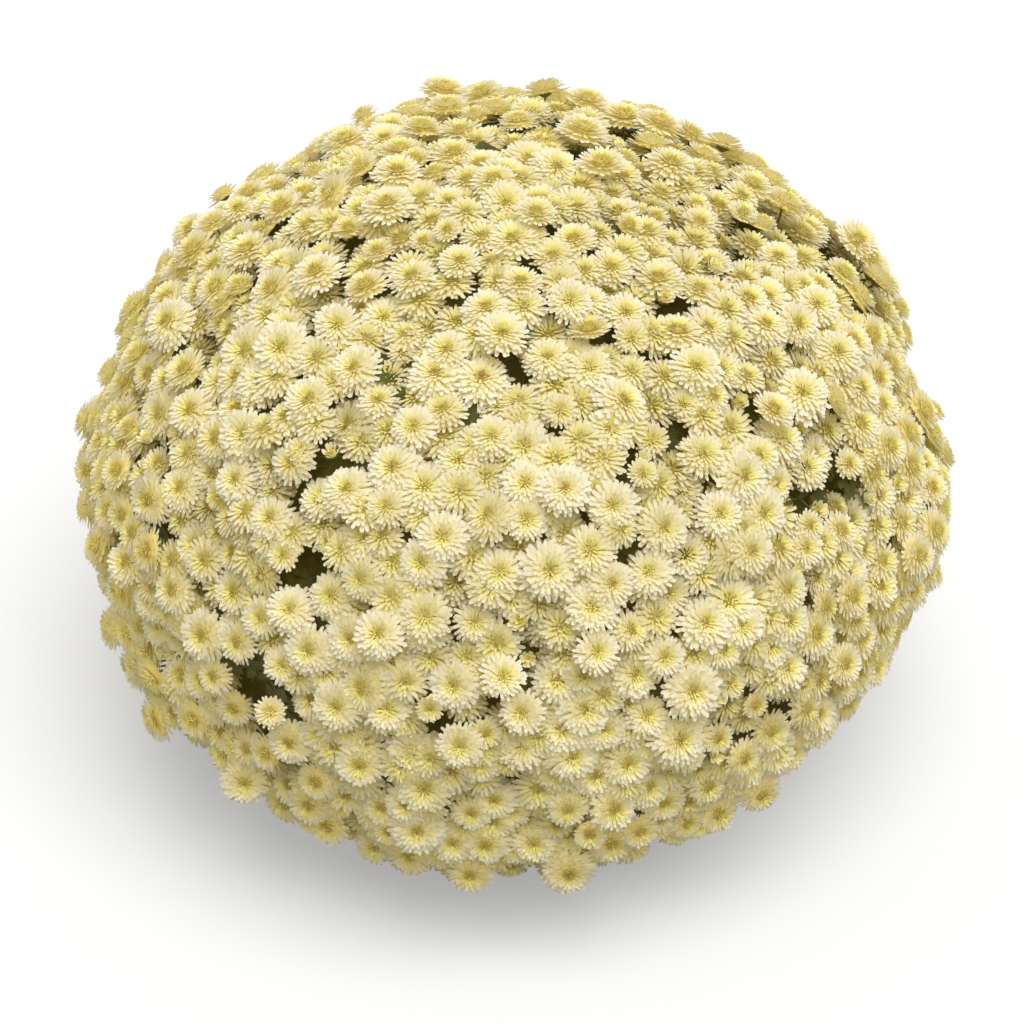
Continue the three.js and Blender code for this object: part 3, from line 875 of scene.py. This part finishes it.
def shape_leaf(name, lobe_reach, droop, cuts):
    """A lobed leaf of unit length along +X, its face up, with a thin stalk."""
    stations = (0.28, 0.41, 0.53, 0.66, 0.78)
    half = 0.075
    leaf = primitive(bpy.ops.mesh.primitive_plane_add, name, (0.14, half, 1), size=1,
                     location=(0.21, half / 2, 0))
    bpy.ops.object.mode_set(mode="EDIT")
    end = stations[0]
    for station in stations[1:]:
        pick(leaf, "VERT", lambda co: co.x > end - 1e-6)
        extrude(station - end, 0, 0)
        end = station
    for (low, high), reach in zip(((0.14, 0.28), (0.41, 0.53), (0.66, 0.78)), lobe_reach):
        middle = (low + high) / 2
        pick(leaf, "EDGE", lambda co: abs(co.x - middle) < 0.01 and co.y > half * 0.9)
        extrude(reach * 0.25, reach * 0.6, 0)
        stretch(1.5, 1, 1, about=(middle + reach * 0.25, 0, 0))
        extrude(reach * 0.25, reach * 0.4, 0)
        stretch(0.45, 1, 1, about=(middle + reach * 0.5, 0, 0))
    pick(leaf, "VERT", lambda co: co.x > end - 1e-6 and co.y < half * 1.01)
    extrude(0.12, 0, 0)
    stretch(1, 1.5, 1)
    extrude(0.1, 0, 0)
    stretch(1, 0.3, 1)
    bpy.ops.mesh.select_all(action="SELECT")
    if cuts:
        bpy.ops.mesh.subdivide(number_cuts=cuts, smoothness=0.6)
    bpy.ops.object.mode_set(mode="OBJECT")
    co = places(leaf)
    co[:, 2] = 0
    leaf.data.vertices.foreach_set("co", co.ravel())
    mirror = leaf.modifiers.new("both halves", "MIRROR")
    mirror.use_axis = (False, True, False)
    mirror.use_clip = True
    mirror.merge_threshold = 1e-4
    bpy.ops.object.modifier_apply(modifier=mirror.name)
    give(leaf, "along", places(leaf)[:, 0])
    give(leaf, "across", np.abs(places(leaf)[:, 1]))
    bpy.ops.object.mode_set(mode="EDIT")
    pick(leaf, "VERT", lambda co: abs(co.y) > half * 0.9)
    move(0, 0, 0.02)
    pick(leaf, "VERT", lambda co: abs(co.y) > half * 2)
    move(0, 0, -0.045)
    for from_x in (0.28, 0.53, 0.78):
        lower(leaf, from_x, droop)
    face_outwards()
    bpy.ops.object.mode_set(mode="OBJECT")
    stalk = primitive(bpy.ops.mesh.primitive_cylinder_add, f"{name}_stalk", vertices=3, radius=0.016,
                      depth=0.2, end_fill_type="NOTHING", rotation=(0, math.pi / 2, 0),
                      location=(0.08, 0, -0.006))
    give(stalk, "stalky", 1.0)
    leaf = joined([leaf, stalk], name)
    bpy.ops.object.shade_smooth()
    return leaf


def shape_inner_leaf():
    """A plain leaf for deep inside the plant, of unit length along +X: a pointed, folded blade."""
    leaf = primitive(bpy.ops.mesh.primitive_plane_add, "inner_leaf", (0.5, 0.62, 1), size=1,
                     location=(0.5, 0, 0))
    bpy.ops.object.mode_set(mode="EDIT")
    bpy.ops.mesh.select_all(action="SELECT")
    bpy.ops.mesh.bisect(plane_co=(0, 0, 0), plane_no=(0, 1, 0))
    for end, out in ((0.25, -0.25), (0.75, 0.25)):
        pick(leaf, "VERT", lambda co: abs(co.x - end) < 1e-3 and abs(co.y) < 1e-3)
        move(out, 0, 0.07)
    bpy.ops.object.mode_set(mode="OBJECT")
    bpy.ops.object.shade_smooth()
    give(leaf, "along", places(leaf)[:, 0])
    give(leaf, "across", np.abs(places(leaf)[:, 1]))
    return leaf


def shape_stalk():
    """A bloom's stalk of unit length down -Z from its green cup, a little bent."""
    stalk = primitive(bpy.ops.mesh.primitive_cylinder_add, "stalk", vertices=3, radius=1, depth=1,
                      end_fill_type="NOTHING", location=(0, 0, -0.5))
    bpy.ops.object.mode_set(mode="EDIT")
    bpy.ops.mesh.select_all(action="SELECT")
    bpy.ops.mesh.bisect(plane_co=(0, 0, -0.45), plane_no=(0, 0, 1))
    pick(stalk, "VERT", lambda co: abs(co.z + 0.45) < 0.01)
    move(2.2, 0, 0)
    bpy.ops.object.mode_set(mode="OBJECT")
    bpy.ops.object.shade_smooth()
    give(stalk, "stalky", 1.0)
    return stalk


def shape_cup():
    """The green cup under a bloom, as a faceted bowl that widens from its stalk."""
    cup = primitive(bpy.ops.mesh.primitive_circle_add, "cup", vertices=7, radius=1.2 * MM,
                    fill_type="NOTHING", location=(0, 0, -0.5 * MM))
    bpy.ops.object.mode_set(mode="EDIT")
    for rise, grow in ((1.6 * MM, 3.2), (2.2 * MM, 1.5)):
        top = max(vertex.co.z for vertex in bmesh.from_edit_mesh(cup.data).verts)
        pick(cup, "VERT", lambda co: co.z > top - 1e-6)
        extrude(0, 0, rise)
        stretch(grow, grow, 1)
    face_outwards()
    bpy.ops.object.mode_set(mode="OBJECT")
    bpy.ops.object.shade_smooth()
    return cup


# Plant


def upright(direction):
    """The turn that stands +Z along a direction."""
    return Vector((0, 0, 1)).rotation_difference(direction).to_matrix().to_4x4()


def bloom_matrix(site, scale, draw):
    """A bloom faces outwards and a little up, and leans at random."""
    axis = (site.normal + Vector((0, 0, TURN_UP))).normalized()
    lean_axis = Vector((1, 0, 0))
    lean_axis.rotate(Matrix.Rotation(draw.random() * math.tau, 3, "Z"))
    lean = Matrix.Rotation(math.radians(abs(draw.gauss(0, LEAN_SPREAD))), 4, lean_axis)
    spin = Matrix.Rotation(draw.random() * math.tau, 4, "Z")
    sit = Matrix.Translation((0, 0, -BLOOM_HEIGHT * scale)) @ spin
    return Matrix.Translation(site.point) @ upright(axis) @ lean @ sit @ Matrix.Scale(scale, 4)


def near(direction, spread, draw):
    """A direction close to another one."""
    return (direction + Vector([draw.uniform(-spread, spread) for _ in range(3)])).normalized()


def facing_matrix(place, face, size, draw):
    """A leaf's place, its face turned as given and its tip in any direction."""
    ahead = face.orthogonal().normalized()
    ahead.rotate(Matrix.Rotation(draw.random() * math.tau, 3, face))
    turn = Matrix((ahead, face.cross(ahead), face)).transposed().to_4x4()
    return Matrix.Translation(place) @ turn @ Matrix.Scale(size, 4)


def pick_model(models, site, draw):
    """Which model a bloom is a copy of, with its size, youth and shade."""
    youth = draw.random()
    if site.tucked:
        kind = "bud" if youth > 1 - BUD_SHARE else "tucked"
    elif youth > HALF_OPEN_FROM:
        kind = "young" if youth > YOUNG_FROM else "half"
    else:
        kind = "open"
    model = draw.choice(models[kind])
    size = draw.uniform(*COPY_SIZES[kind])
    if kind == "tucked":
        return model, size, youth, draw.uniform(*TUCKED_SHADES)
    shade = draw.random()
    return model, size, youth, shade if kind == "bud" else shade**3


def branch_ends(sites):
    """Where a spray's branches fork into bloom stalks: (its sites, the fork's place)."""
    middle = sum((site.point for site in sites), Vector()) / len(sites)
    normal = sum((site.normal for site in sites), Vector()).normalized()
    aside = normal.orthogonal().normalized()
    spots = [middle]
    for k in range(BRANCH_COUNT):
        arm = aside.copy()
        arm.rotate(Matrix.Rotation(k * math.tau / BRANCH_COUNT, 3, normal))
        spots.append(middle + arm * SPRAY_REACH * BRANCH_SPREAD)
    groups = [[] for _ in spots]
    for site in sites:
        distances = [(spot - site.point).length for spot in spots]
        groups[distances.index(min(distances))].append(site)
    for group in groups:
        if group:
            centre = sum((site.point for site in group), Vector()) / len(group)
            inwards = sum((site.normal for site in group), Vector()).normalized()
            yield group, (centre - inwards * FORK_DEPTH).lerp(middle - normal * FORK_DEPTH, 0.2)


def grow_tubes(name, paths):
    """Round stems through the points of each path, which are (place, radius)."""
    drop_selection()
    bpy.ops.curve.primitive_bezier_curve_add(location=(0, 0, 0))
    stems = added(name)
    stems.data.splines.clear()
    for path in paths:
        spline = stems.data.splines.new("BEZIER")
        spline.bezier_points.add(len(path) - 1)
        for point, (place, radius) in zip(spline.bezier_points, path):
            point.co = place
            point.radius = radius
            point.handle_left_type = point.handle_right_type = "AUTO"
    stems.data.dimensions = "3D"
    stems.data.resolution_u = 5
    stems.data.bevel_depth = 1
    stems.data.bevel_resolution = 1
    stems.data.use_fill_caps = True
    take(stems)
    bpy.ops.object.convert(target="MESH")
    stems = added(name)
    give(stems, "stalky", 1.0)
    bpy.ops.object.shade_smooth()
    return stems


def shoot_points(number, sites):
    """The stem that carries a spray: from the main stem, over the pot's lip, to the spray."""
    middle = sum((site.point for site in sites), Vector()) / len(sites)
    normal = sum((site.normal for site in sites), Vector()).normalized()
    end = middle - normal * SHOOT_END_DEPTH
    if number == 0:
        start, leaving = Vector((0, 0, TRUNK_TOP)), Vector((0, 0, 1))
    else:
        leaving = outward(number * GOLDEN_ANGLE)
        start = leaving * TRUNK_RADIUS * 0.6
        highest = TRUNK_TOP - 2 * SHOOT_RADIUS
        start.z = highest + (LOWEST_SHOOT - highest) * number / (SPRAY_COUNT - 1)
    bow = start.lerp(end, 0.5) + leaving * SHOOT_BOW
    bow.z = max(bow.z, POT_HEIGHT + LIP_CLEARANCE)
    return start, bow, end


def along_arc(start, bow, end, share):
    """A place on the arc through three points, by its share of the way."""
    first = start.lerp(bow, min(share * 2, 1))
    second = bow.lerp(end, max(share * 2 - 1, 0))
    return first.lerp(second, share)


def gap_leaves(number, models, sprays, draw):
    """The leaves that show in the gaps of one spray."""
    leaves = []
    for azimuth, latitude, half_width in GAPS:
        azimuth, latitude = math.radians(azimuth), math.radians(latitude)
        middle = dome_point(latitude, azimuth)
        distances = [(centre - middle).length for centre in sprays]
        if distances.index(min(distances)) != number:
            continue
        normal = dome_normal(latitude, azimuth)
        for _ in range(GAP_LEAVES):
            aside = Vector([draw.uniform(-1, 1) for _ in range(3)]).cross(normal).normalized()
            face = (normal + aside * 0.35).normalized()
            root = middle - normal * draw.uniform(*GAP_LEAF_DEPTHS) * MM - aside * GAP_LEAF_ASIDE * MM
            turn = Matrix((aside, face.cross(aside), face)).transposed().to_4x4()
            size = Matrix.Scale(draw.uniform(*GAP_LEAF_LENGTHS) * MM, 4)
            leaves.append(copy_of(draw.choice(models), "leaf", Matrix.Translation(root) @ turn @ size))
    return leaves


def shoot_leaves(number, shoot, models, draw):
    """The leaves along one spray's stem."""
    start, _, end = shoot
    ahead = (end - start).normalized()
    for k, share in enumerate(SHOOT_LEAF_PLACES):
        away = ahead.orthogonal().normalized()
        away.rotate(Matrix.Rotation(k * GOLDEN_ANGLE + number, 3, ahead))
        face = (ahead + away * 0.3).normalized()
        side = face.cross(away).normalized()
        turn = Matrix((side.cross(face), side, face)).transposed().to_4x4()
        size = Matrix.Scale(draw.uniform(*SHOOT_LEAF_LENGTHS) * MM, 4)
        place = Matrix.Translation(along_arc(*shoot, share)) @ turn @ size
        yield copy_of(draw.choice(models), "leaf", place)


def branch_leaves(site, root, fork, models, draw):
    """The leaves along a branch, from its root on the stem to the fork of its bloom stalks."""
    for share in BRANCH_LEAF_PLACES:
        face = near(site.normal, BRANCH_LEAF_TURN, draw)
        length = draw.uniform(*BRANCH_LEAF_LENGTHS) * MM
        place = facing_matrix(root.lerp(fork, share), face, length, draw)
        yield site.sinks(copy_of(draw.choice(models), "leaf", place))


def bloom_at(site, place, model, youth, shade):
    """A copy of a model at its place, with what its finish reads."""
    bloom = copy_of(model, "bloom", place)
    give(bloom, "youth", youth)
    give(bloom, "shade", shade)
    give(bloom, "eye", max(0, 1 - youth / BROWN_EYE_BELOW))
    return site.sinks(bloom)


def green_parts(site, place, scale, fork, models, draw):
    """A bloom's stalk and cup, and the leaves under it."""
    base = place @ Vector((0, 0, STALK_START))
    run = base - fork
    thick = STALK_RADIUS * scale
    turn = Matrix.Rotation(draw.random() * math.tau, 4, "Z")
    size = Matrix.Diagonal((thick, thick, run.length, 1))
    stalk = Matrix.Translation(base) @ upright(run) @ turn @ size
    yield site.sinks(copy_of(models["stalk"], "stalk", stalk))
    yield site.sinks(copy_of(models["cup"], "cup", place))
    if site.above_rim > INNER_LEAF_MARGIN:
        face = near(site.normal, INNER_LEAF_TURN, draw)
        middle = site.surface - site.normal * draw.uniform(*INNER_LEAF_DEPTHS) * MM
        length = draw.uniform(*INNER_LEAF_LENGTHS) * MM
        leaf = facing_matrix(middle, face, length, draw)
        yield site.sinks(copy_of(models["inner_leaf"], "leaf", leaf))
    share = CANOPY_LEAF_SHARE if site.smooth.z > EQUATOR_HEIGHT else LOW_LEAF_SHARE
    if draw.random() < share:
        root = base.lerp(fork, draw.uniform(*CANOPY_LEAF_PLACES))
        face = near(site.normal, CANOPY_LEAF_TURN, draw)
        length = draw.uniform(*CANOPY_LEAF_LENGTHS) * MM
        leaf = facing_matrix(root, face, length, draw)
        yield site.sinks(copy_of(draw.choice(models["canopy_leaves"]), "leaf", leaf))


# Models of each kind of bloom: (rows, how many, openness of the first, its step, first seed)
MODEL_SETS = {
    "open": (OPEN_ROWS, 4, 0.95, 0.05, 0),
    "half": (HALF_ROWS, 4, 0.92, 0.06, 10),
    "young": (YOUNG_ROWS, 3, 0.84, 0.1, 20),
    "tucked": (TUCKED_ROWS, 3, 0.9, 0.08, 30),
    "bud": (BUD_ROWS, 2, 1, 0, 40),
}


def build_bloom_models():
    """Each kind of bloom in a few models, from petals that are then cleared away."""
    kinds = petal_kinds()
    models = {}
    for kind, (rows, count, openness, step, seed) in MODEL_SETS.items():
        models[kind] = [
            build_bloom(f"{kind}_{i}", kinds, rows, openness + step * i, seed + i) for i in range(count)
        ]
    clear_away(kinds.values())
    return models


def build_green_models():
    """The leaves, the stalk and the cup that the green parts are copies of."""
    return {
        "canopy_leaves": [shape_leaf(f"canopy_leaf_{i}", lobes, 14, 0) for i, lobes in enumerate(LOBES)],
        "stem_leaves": [shape_leaf(f"stem_leaf_{i}", lobes, 9, 1) for i, lobes in enumerate(LOBES)],
        "inner_leaf": shape_inner_leaf(),
        "stalk": shape_stalk(),
        "cup": shape_cup(),
    }


def clear_away(models):
    """Removes models that have been copied."""
    for model in models:
        bpy.data.objects.remove(model)


def build_spray(number, own, sprays, blooms_of, greens_of, finishes, draw):
    """One spray: its blooms, their stalks and leaves, and the leafy stem that carries them."""
    petals, green = finishes
    shoot = shoot_points(number, own)
    tubes = [list(zip(shoot, (SHOOT_RADIUS, SHOOT_RADIUS * 0.85, SHOOT_TIP_RADIUS * 0.8)))]
    blooms = []
    greens = []
    for group, fork in branch_ends(own):
        root = along_arc(*shoot, draw.uniform(*BRANCH_PLACES))
        branch = (root, root.lerp(fork, 0.5), fork)
        tubes.append(list(zip(branch, (SHOOT_TIP_RADIUS, BRANCH_RADIUS, BRANCH_TIP_RADIUS))))
        greens += branch_leaves(group[0], root, fork, greens_of["canopy_leaves"], draw)
        for site in group:
            model, scale, youth, shade = pick_model(blooms_of, site, draw)
            place = bloom_matrix(site, scale, draw)
            blooms.append(bloom_at(site, place, model, youth, shade))
            greens += green_parts(site, place, scale, fork, greens_of, draw)
    spray = joined(blooms, f"blooms_{number + 1:02d}")
    finish_piece(spray, petals, f"bloom_spray_{number + 1:02d}")
    finish_piece(joined(greens, f"bloom_stalks_{number + 1:02d}"), green)
    leaves = [grow_tubes("shoots", tubes)]
    leaves += shoot_leaves(number, shoot, greens_of["canopy_leaves"], draw)
    leaves += gap_leaves(number, greens_of["stem_leaves"], sprays, draw)
    for piece in leaves:
        own[0].sinks(piece)
    stem = joined(leaves, f"stem_and_leaves_{number + 1:02d}")
    finish_piece(stem, green, f"leafy_stem_{number + 1:02d}")


def build_sprays(petals, green):
    """Every spray of the plant, in its two finishes."""
    blooms_of = build_bloom_models()
    greens_of = build_green_models()
    sprays, outer, tucked = lay_out_blooms()
    draw = random.Random(11)
    for number in range(SPRAY_COUNT):
        own = [site for site in outer + tucked if site.spray == number]
        build_spray(number, own, sprays, blooms_of, greens_of, (petals, green), draw)
    for models in [*blooms_of.values(), *greens_of.values()]:
        clear_away(models if isinstance(models, list) else [models])


# Pot, soil and main stem


def turned(name, sides, profile):
    """A solid spun up ring by ring from a profile of (radius, height), closed at both ends."""
    (radius, height), *rest = profile
    piece = primitive(bpy.ops.mesh.primitive_circle_add, name, vertices=sides, radius=radius,
                      fill_type="NGON", location=(0, 0, height))
    bpy.ops.object.mode_set(mode="EDIT")
    bpy.ops.mesh.select_all(action="SELECT")
    for next_radius, next_height in rest:
        extrude(0, 0, next_height - height)
        grow = next_radius / radius
        stretch(grow, grow, 1)
        radius, height = next_radius, next_height
    bpy.ops.mesh.edge_face_add()
    face_outwards()
    bpy.ops.object.mode_set(mode="OBJECT")
    return piece


def pot_radius_at(height):
    """The pot's outer radius."""
    return POT_BASE_RADIUS + (POT_TOP_RADIUS - POT_BASE_RADIUS) * height / POT_HEIGHT


def build_pot():
    """The plain nursery pot, with a rolled lip and drain holes."""
    lip_base = POT_HEIGHT - LIP_HEIGHT
    lip_middle = POT_TOP_RADIUS + LIP_WIDTH / 2
    lip = [(lip_middle + math.cos(turn) * LIP_WIDTH / 2, POT_HEIGHT - LIP_EDGE + math.sin(turn) * LIP_EDGE)
           for turn in (0, 0.5, 1.05, 1.57, 2.1, 2.65, 3.14)]
    pot = turned("nursery_pot", POT_SIDES, [
        (POT_BASE_RADIUS - BASE_CHAMFER, 0),
        (pot_radius_at(BASE_CHAMFER), BASE_CHAMFER),
        (pot_radius_at(lip_base * 0.5), lip_base * 0.5),
        (pot_radius_at(lip_base), lip_base),
        (pot_radius_at(lip_base) + LIP_WIDTH, lip_base + 1 * MM),
        *lip,
        (pot_radius_at(lip_base) - POT_WALL, lip_base),
        (pot_radius_at(POT_FLOOR) - POT_WALL, POT_FLOOR),
    ])
    for k in range(DRAIN_HOLES):
        turn = math.tau * (k + 0.5) / DRAIN_HOLES
        place = (DRAIN_CIRCLE * math.cos(turn), DRAIN_CIRCLE * math.sin(turn), 0)
        drop_selection()
        bpy.ops.mesh.primitive_cylinder_add(vertices=20, radius=DRAIN_RADIUS, depth=4 * POT_FLOOR,
                                            location=place)
        drill = added("drill")
        take(pot)
        cut = pot.modifiers.new("drain hole", "BOOLEAN")
        cut.operation = "DIFFERENCE"
        cut.object = drill
        bpy.ops.object.modifier_apply(modifier=cut.name)
        bpy.data.objects.remove(drill)
    rounding = pot.modifiers.new("rounded edges", "BEVEL")
    rounding.width = EDGE_ROUNDING
    rounding.segments = 2
    rounding.limit_method = "ANGLE"
    rounding.angle_limit = math.radians(40)
    bpy.ops.object.modifier_apply(modifier=rounding.name)
    bpy.ops.object.shade_smooth_by_angle(angle=math.radians(35))
    finish_piece(pot, pot_finish(), "pot")


def build_soil():
    """The soil that fills the pot, with loose crumbs and perlite on its top."""
    hole = TRUNK_FOOT_RADIUS + CLEARANCE
    floor = POT_FLOOR + CLEARANCE
    wall = [pot_radius_at(height) - POT_WALL - SOIL_WALL_GAP for height in (floor, SOIL_HEIGHT)]
    rings = 12
    top = []
    for k in range(rings + 1):
        rise = SOIL_MOUND * math.sin(math.pi * k / rings / 1.3)
        top.append((wall[1] + (hole - wall[1]) * k / rings, SOIL_HEIGHT + rise))
    soil = turned("soil_with_perlite", POT_SIDES, [(wall[0], floor), *top, (hole, TRUNK_FOOT_DEPTH)])
    bpy.ops.object.mode_set(mode="EDIT")
    inside = wall[1] - 2 * MM
    pick(soil, "VERT", lambda co: co.z > SOIL_HEIGHT + 0.3 * MM and math.hypot(co.x, co.y) < inside)
    bpy.ops.transform.vertex_random(offset=SOIL_LUMPS, uniform=0.3, normal=0.7, seed=4)
    bpy.ops.object.mode_set(mode="OBJECT")
    give(soil, "perlite", 0.0)
    crumb = primitive(bpy.ops.mesh.primitive_ico_sphere_add, "crumb", subdivisions=1, radius=1)
    bpy.ops.object.mode_set(mode="EDIT")
    bpy.ops.mesh.select_all(action="SELECT")
    bpy.ops.transform.vertex_random(offset=0.25, uniform=1, normal=0, seed=9)
    bpy.ops.object.mode_set(mode="OBJECT")
    draw = random.Random(5)
    crumbs = []
    for k in range(CRUMBS + PERLITE):
        radius = math.sqrt(draw.uniform((hole * 1.4) ** 2, (wall[1] * 0.95) ** 2))
        place = outward(draw.random() * math.tau) * radius
        place.z = SOIL_HEIGHT + SOIL_MOUND
        white = k >= CRUMBS
        size = draw.uniform(*(PERLITE_SIZES if white else CRUMB_SIZES)) * MM
        shape = Matrix.Diagonal([size * draw.uniform(0.7, 1.1) for _ in range(3)] + [1])
        turn = Matrix.Rotation(draw.random() * math.tau, 4, "Z")
        turn = turn @ Matrix.Rotation(draw.random() * math.tau, 4, "X")
        grain = copy_of(crumb, "crumb", Matrix.Translation(place) @ turn @ shape)
        give(grain, "perlite", float(white))
        crumbs.append(grain)
    bpy.data.objects.remove(crumb)
    soil = joined([soil, *crumbs], "soil_with_perlite")
    bpy.ops.object.shade_smooth_by_angle(angle=math.radians(50))
    finish_piece(soil, soil_finish(), "potting_soil")


def build_main_stem():
    """The woody stem that stands in the soil and carries the sprays' stems."""
    foot = TRUNK_FOOT_DEPTH + CLEARANCE
    flare = SOIL_HEIGHT - TRUNK_RADIUS
    neck = SOIL_HEIGHT + TRUNK_RADIUS
    waists = [(TRUNK_FOOT_RADIUS + (TRUNK_RADIUS - TRUNK_FOOT_RADIUS) * k / 4, flare + (neck - flare) * k / 4)
              for k in range(5)]
    upper = [(TRUNK_RADIUS, neck + (TRUNK_TOP - 3 * MM - neck) * k / 4) for k in range(1, 5)]
    stem = turned("woody_main_stem", 24, [(TRUNK_FOOT_RADIUS - 3 * MM, foot), *waists, *upper,
                                          (TRUNK_RADIUS - 3 * MM, TRUNK_TOP)])
    bpy.ops.object.mode_set(mode="EDIT")
    pick(stem, "VERT", lambda co: flare + 1 * MM < co.z < TRUNK_TOP - 1 * MM)
    bpy.ops.transform.vertex_random(offset=0.9 * MM, uniform=0, normal=1, seed=3)
    bpy.ops.object.mode_set(mode="OBJECT")
    bpy.ops.object.shade_smooth()
    finish_piece(stem, bark_finish(), "main_stem")


# Room


def add_sun(name, energy, angle, tilt_to_front, tilt_to_right):
    """Even light from above, as soft as its angle is wide."""
    turn = (math.radians(tilt_to_front), math.radians(tilt_to_right), 0)
    bpy.ops.object.light_add(type="SUN", rotation=turn)
    lamp = bpy.context.object
    lamp.name = name
    lamp.data.energy = energy
    lamp.data.angle = math.radians(angle)


def glowing(name, base, glow):
    """A finish for the room, which shows an even pale tone of its own."""
    finish = Finish(name, Roughness=0.9, Specular_IOR_Level=0.0, Emission_Strength=glow,
                    Emission_Color=(1, 1, 1, 1), Base_Color=(base, base, base, 1))
    return finish.material


def set_stage():
    """A pale floor and a white wall all round, which don't colour the plant, and soft light."""
    drop_selection()
    bpy.ops.mesh.primitive_plane_add(size=FLOOR_SIZE)
    floor = added("floor")
    floor.data.materials.append(glowing("pale_floor", 0.73, 0.35))
    bpy.ops.mesh.primitive_uv_sphere_add(segments=32, ring_count=16, radius=WALL_RADIUS)
    wall = added("wall")
    wall.data.materials.append(glowing("pale_wall", 0, 1))
    wall.visible_glossy = False
    wall.visible_shadow = False
    for piece in (floor, wall):
        piece.visible_diffuse = False
    world = bpy.context.scene.world or bpy.data.worlds.new("room")
    bpy.context.scene.world = world
    world.use_nodes = True
    background = world.node_tree.nodes["Background"]
    background.inputs["Color"].default_value = (1, 1, 1, 1)
    background.inputs["Strength"].default_value = ROOM_GLOW
    add_sun("key_light", *KEY_LIGHT)
    add_sun("overhead_light", *OVERHEAD_LIGHT)
    bpy.context.scene.view_settings.view_transform = "Standard"


def set_camera():
    """The camera, at the height and distance that give the photographed view."""
    back = Vector((0, -math.cos(CAMERA_ELEVATION), math.sin(CAMERA_ELEVATION)))
    bpy.ops.object.camera_add(location=CAMERA_AIM + back * CAMERA_DISTANCE)
    camera = bpy.context.object
    camera.name = "camera"
    camera.rotation_euler = (-back).to_track_quat("-Z", "Y").to_euler()
    camera.data.lens = CAMERA_LENS
    camera.data.sensor_width = CAMERA_SENSOR
    bpy.context.scene.camera = camera


set_camera()
set_stage()
build_sprays(petal_finish(), leaf_finish())
build_main_stem()
build_soil()
build_pot()
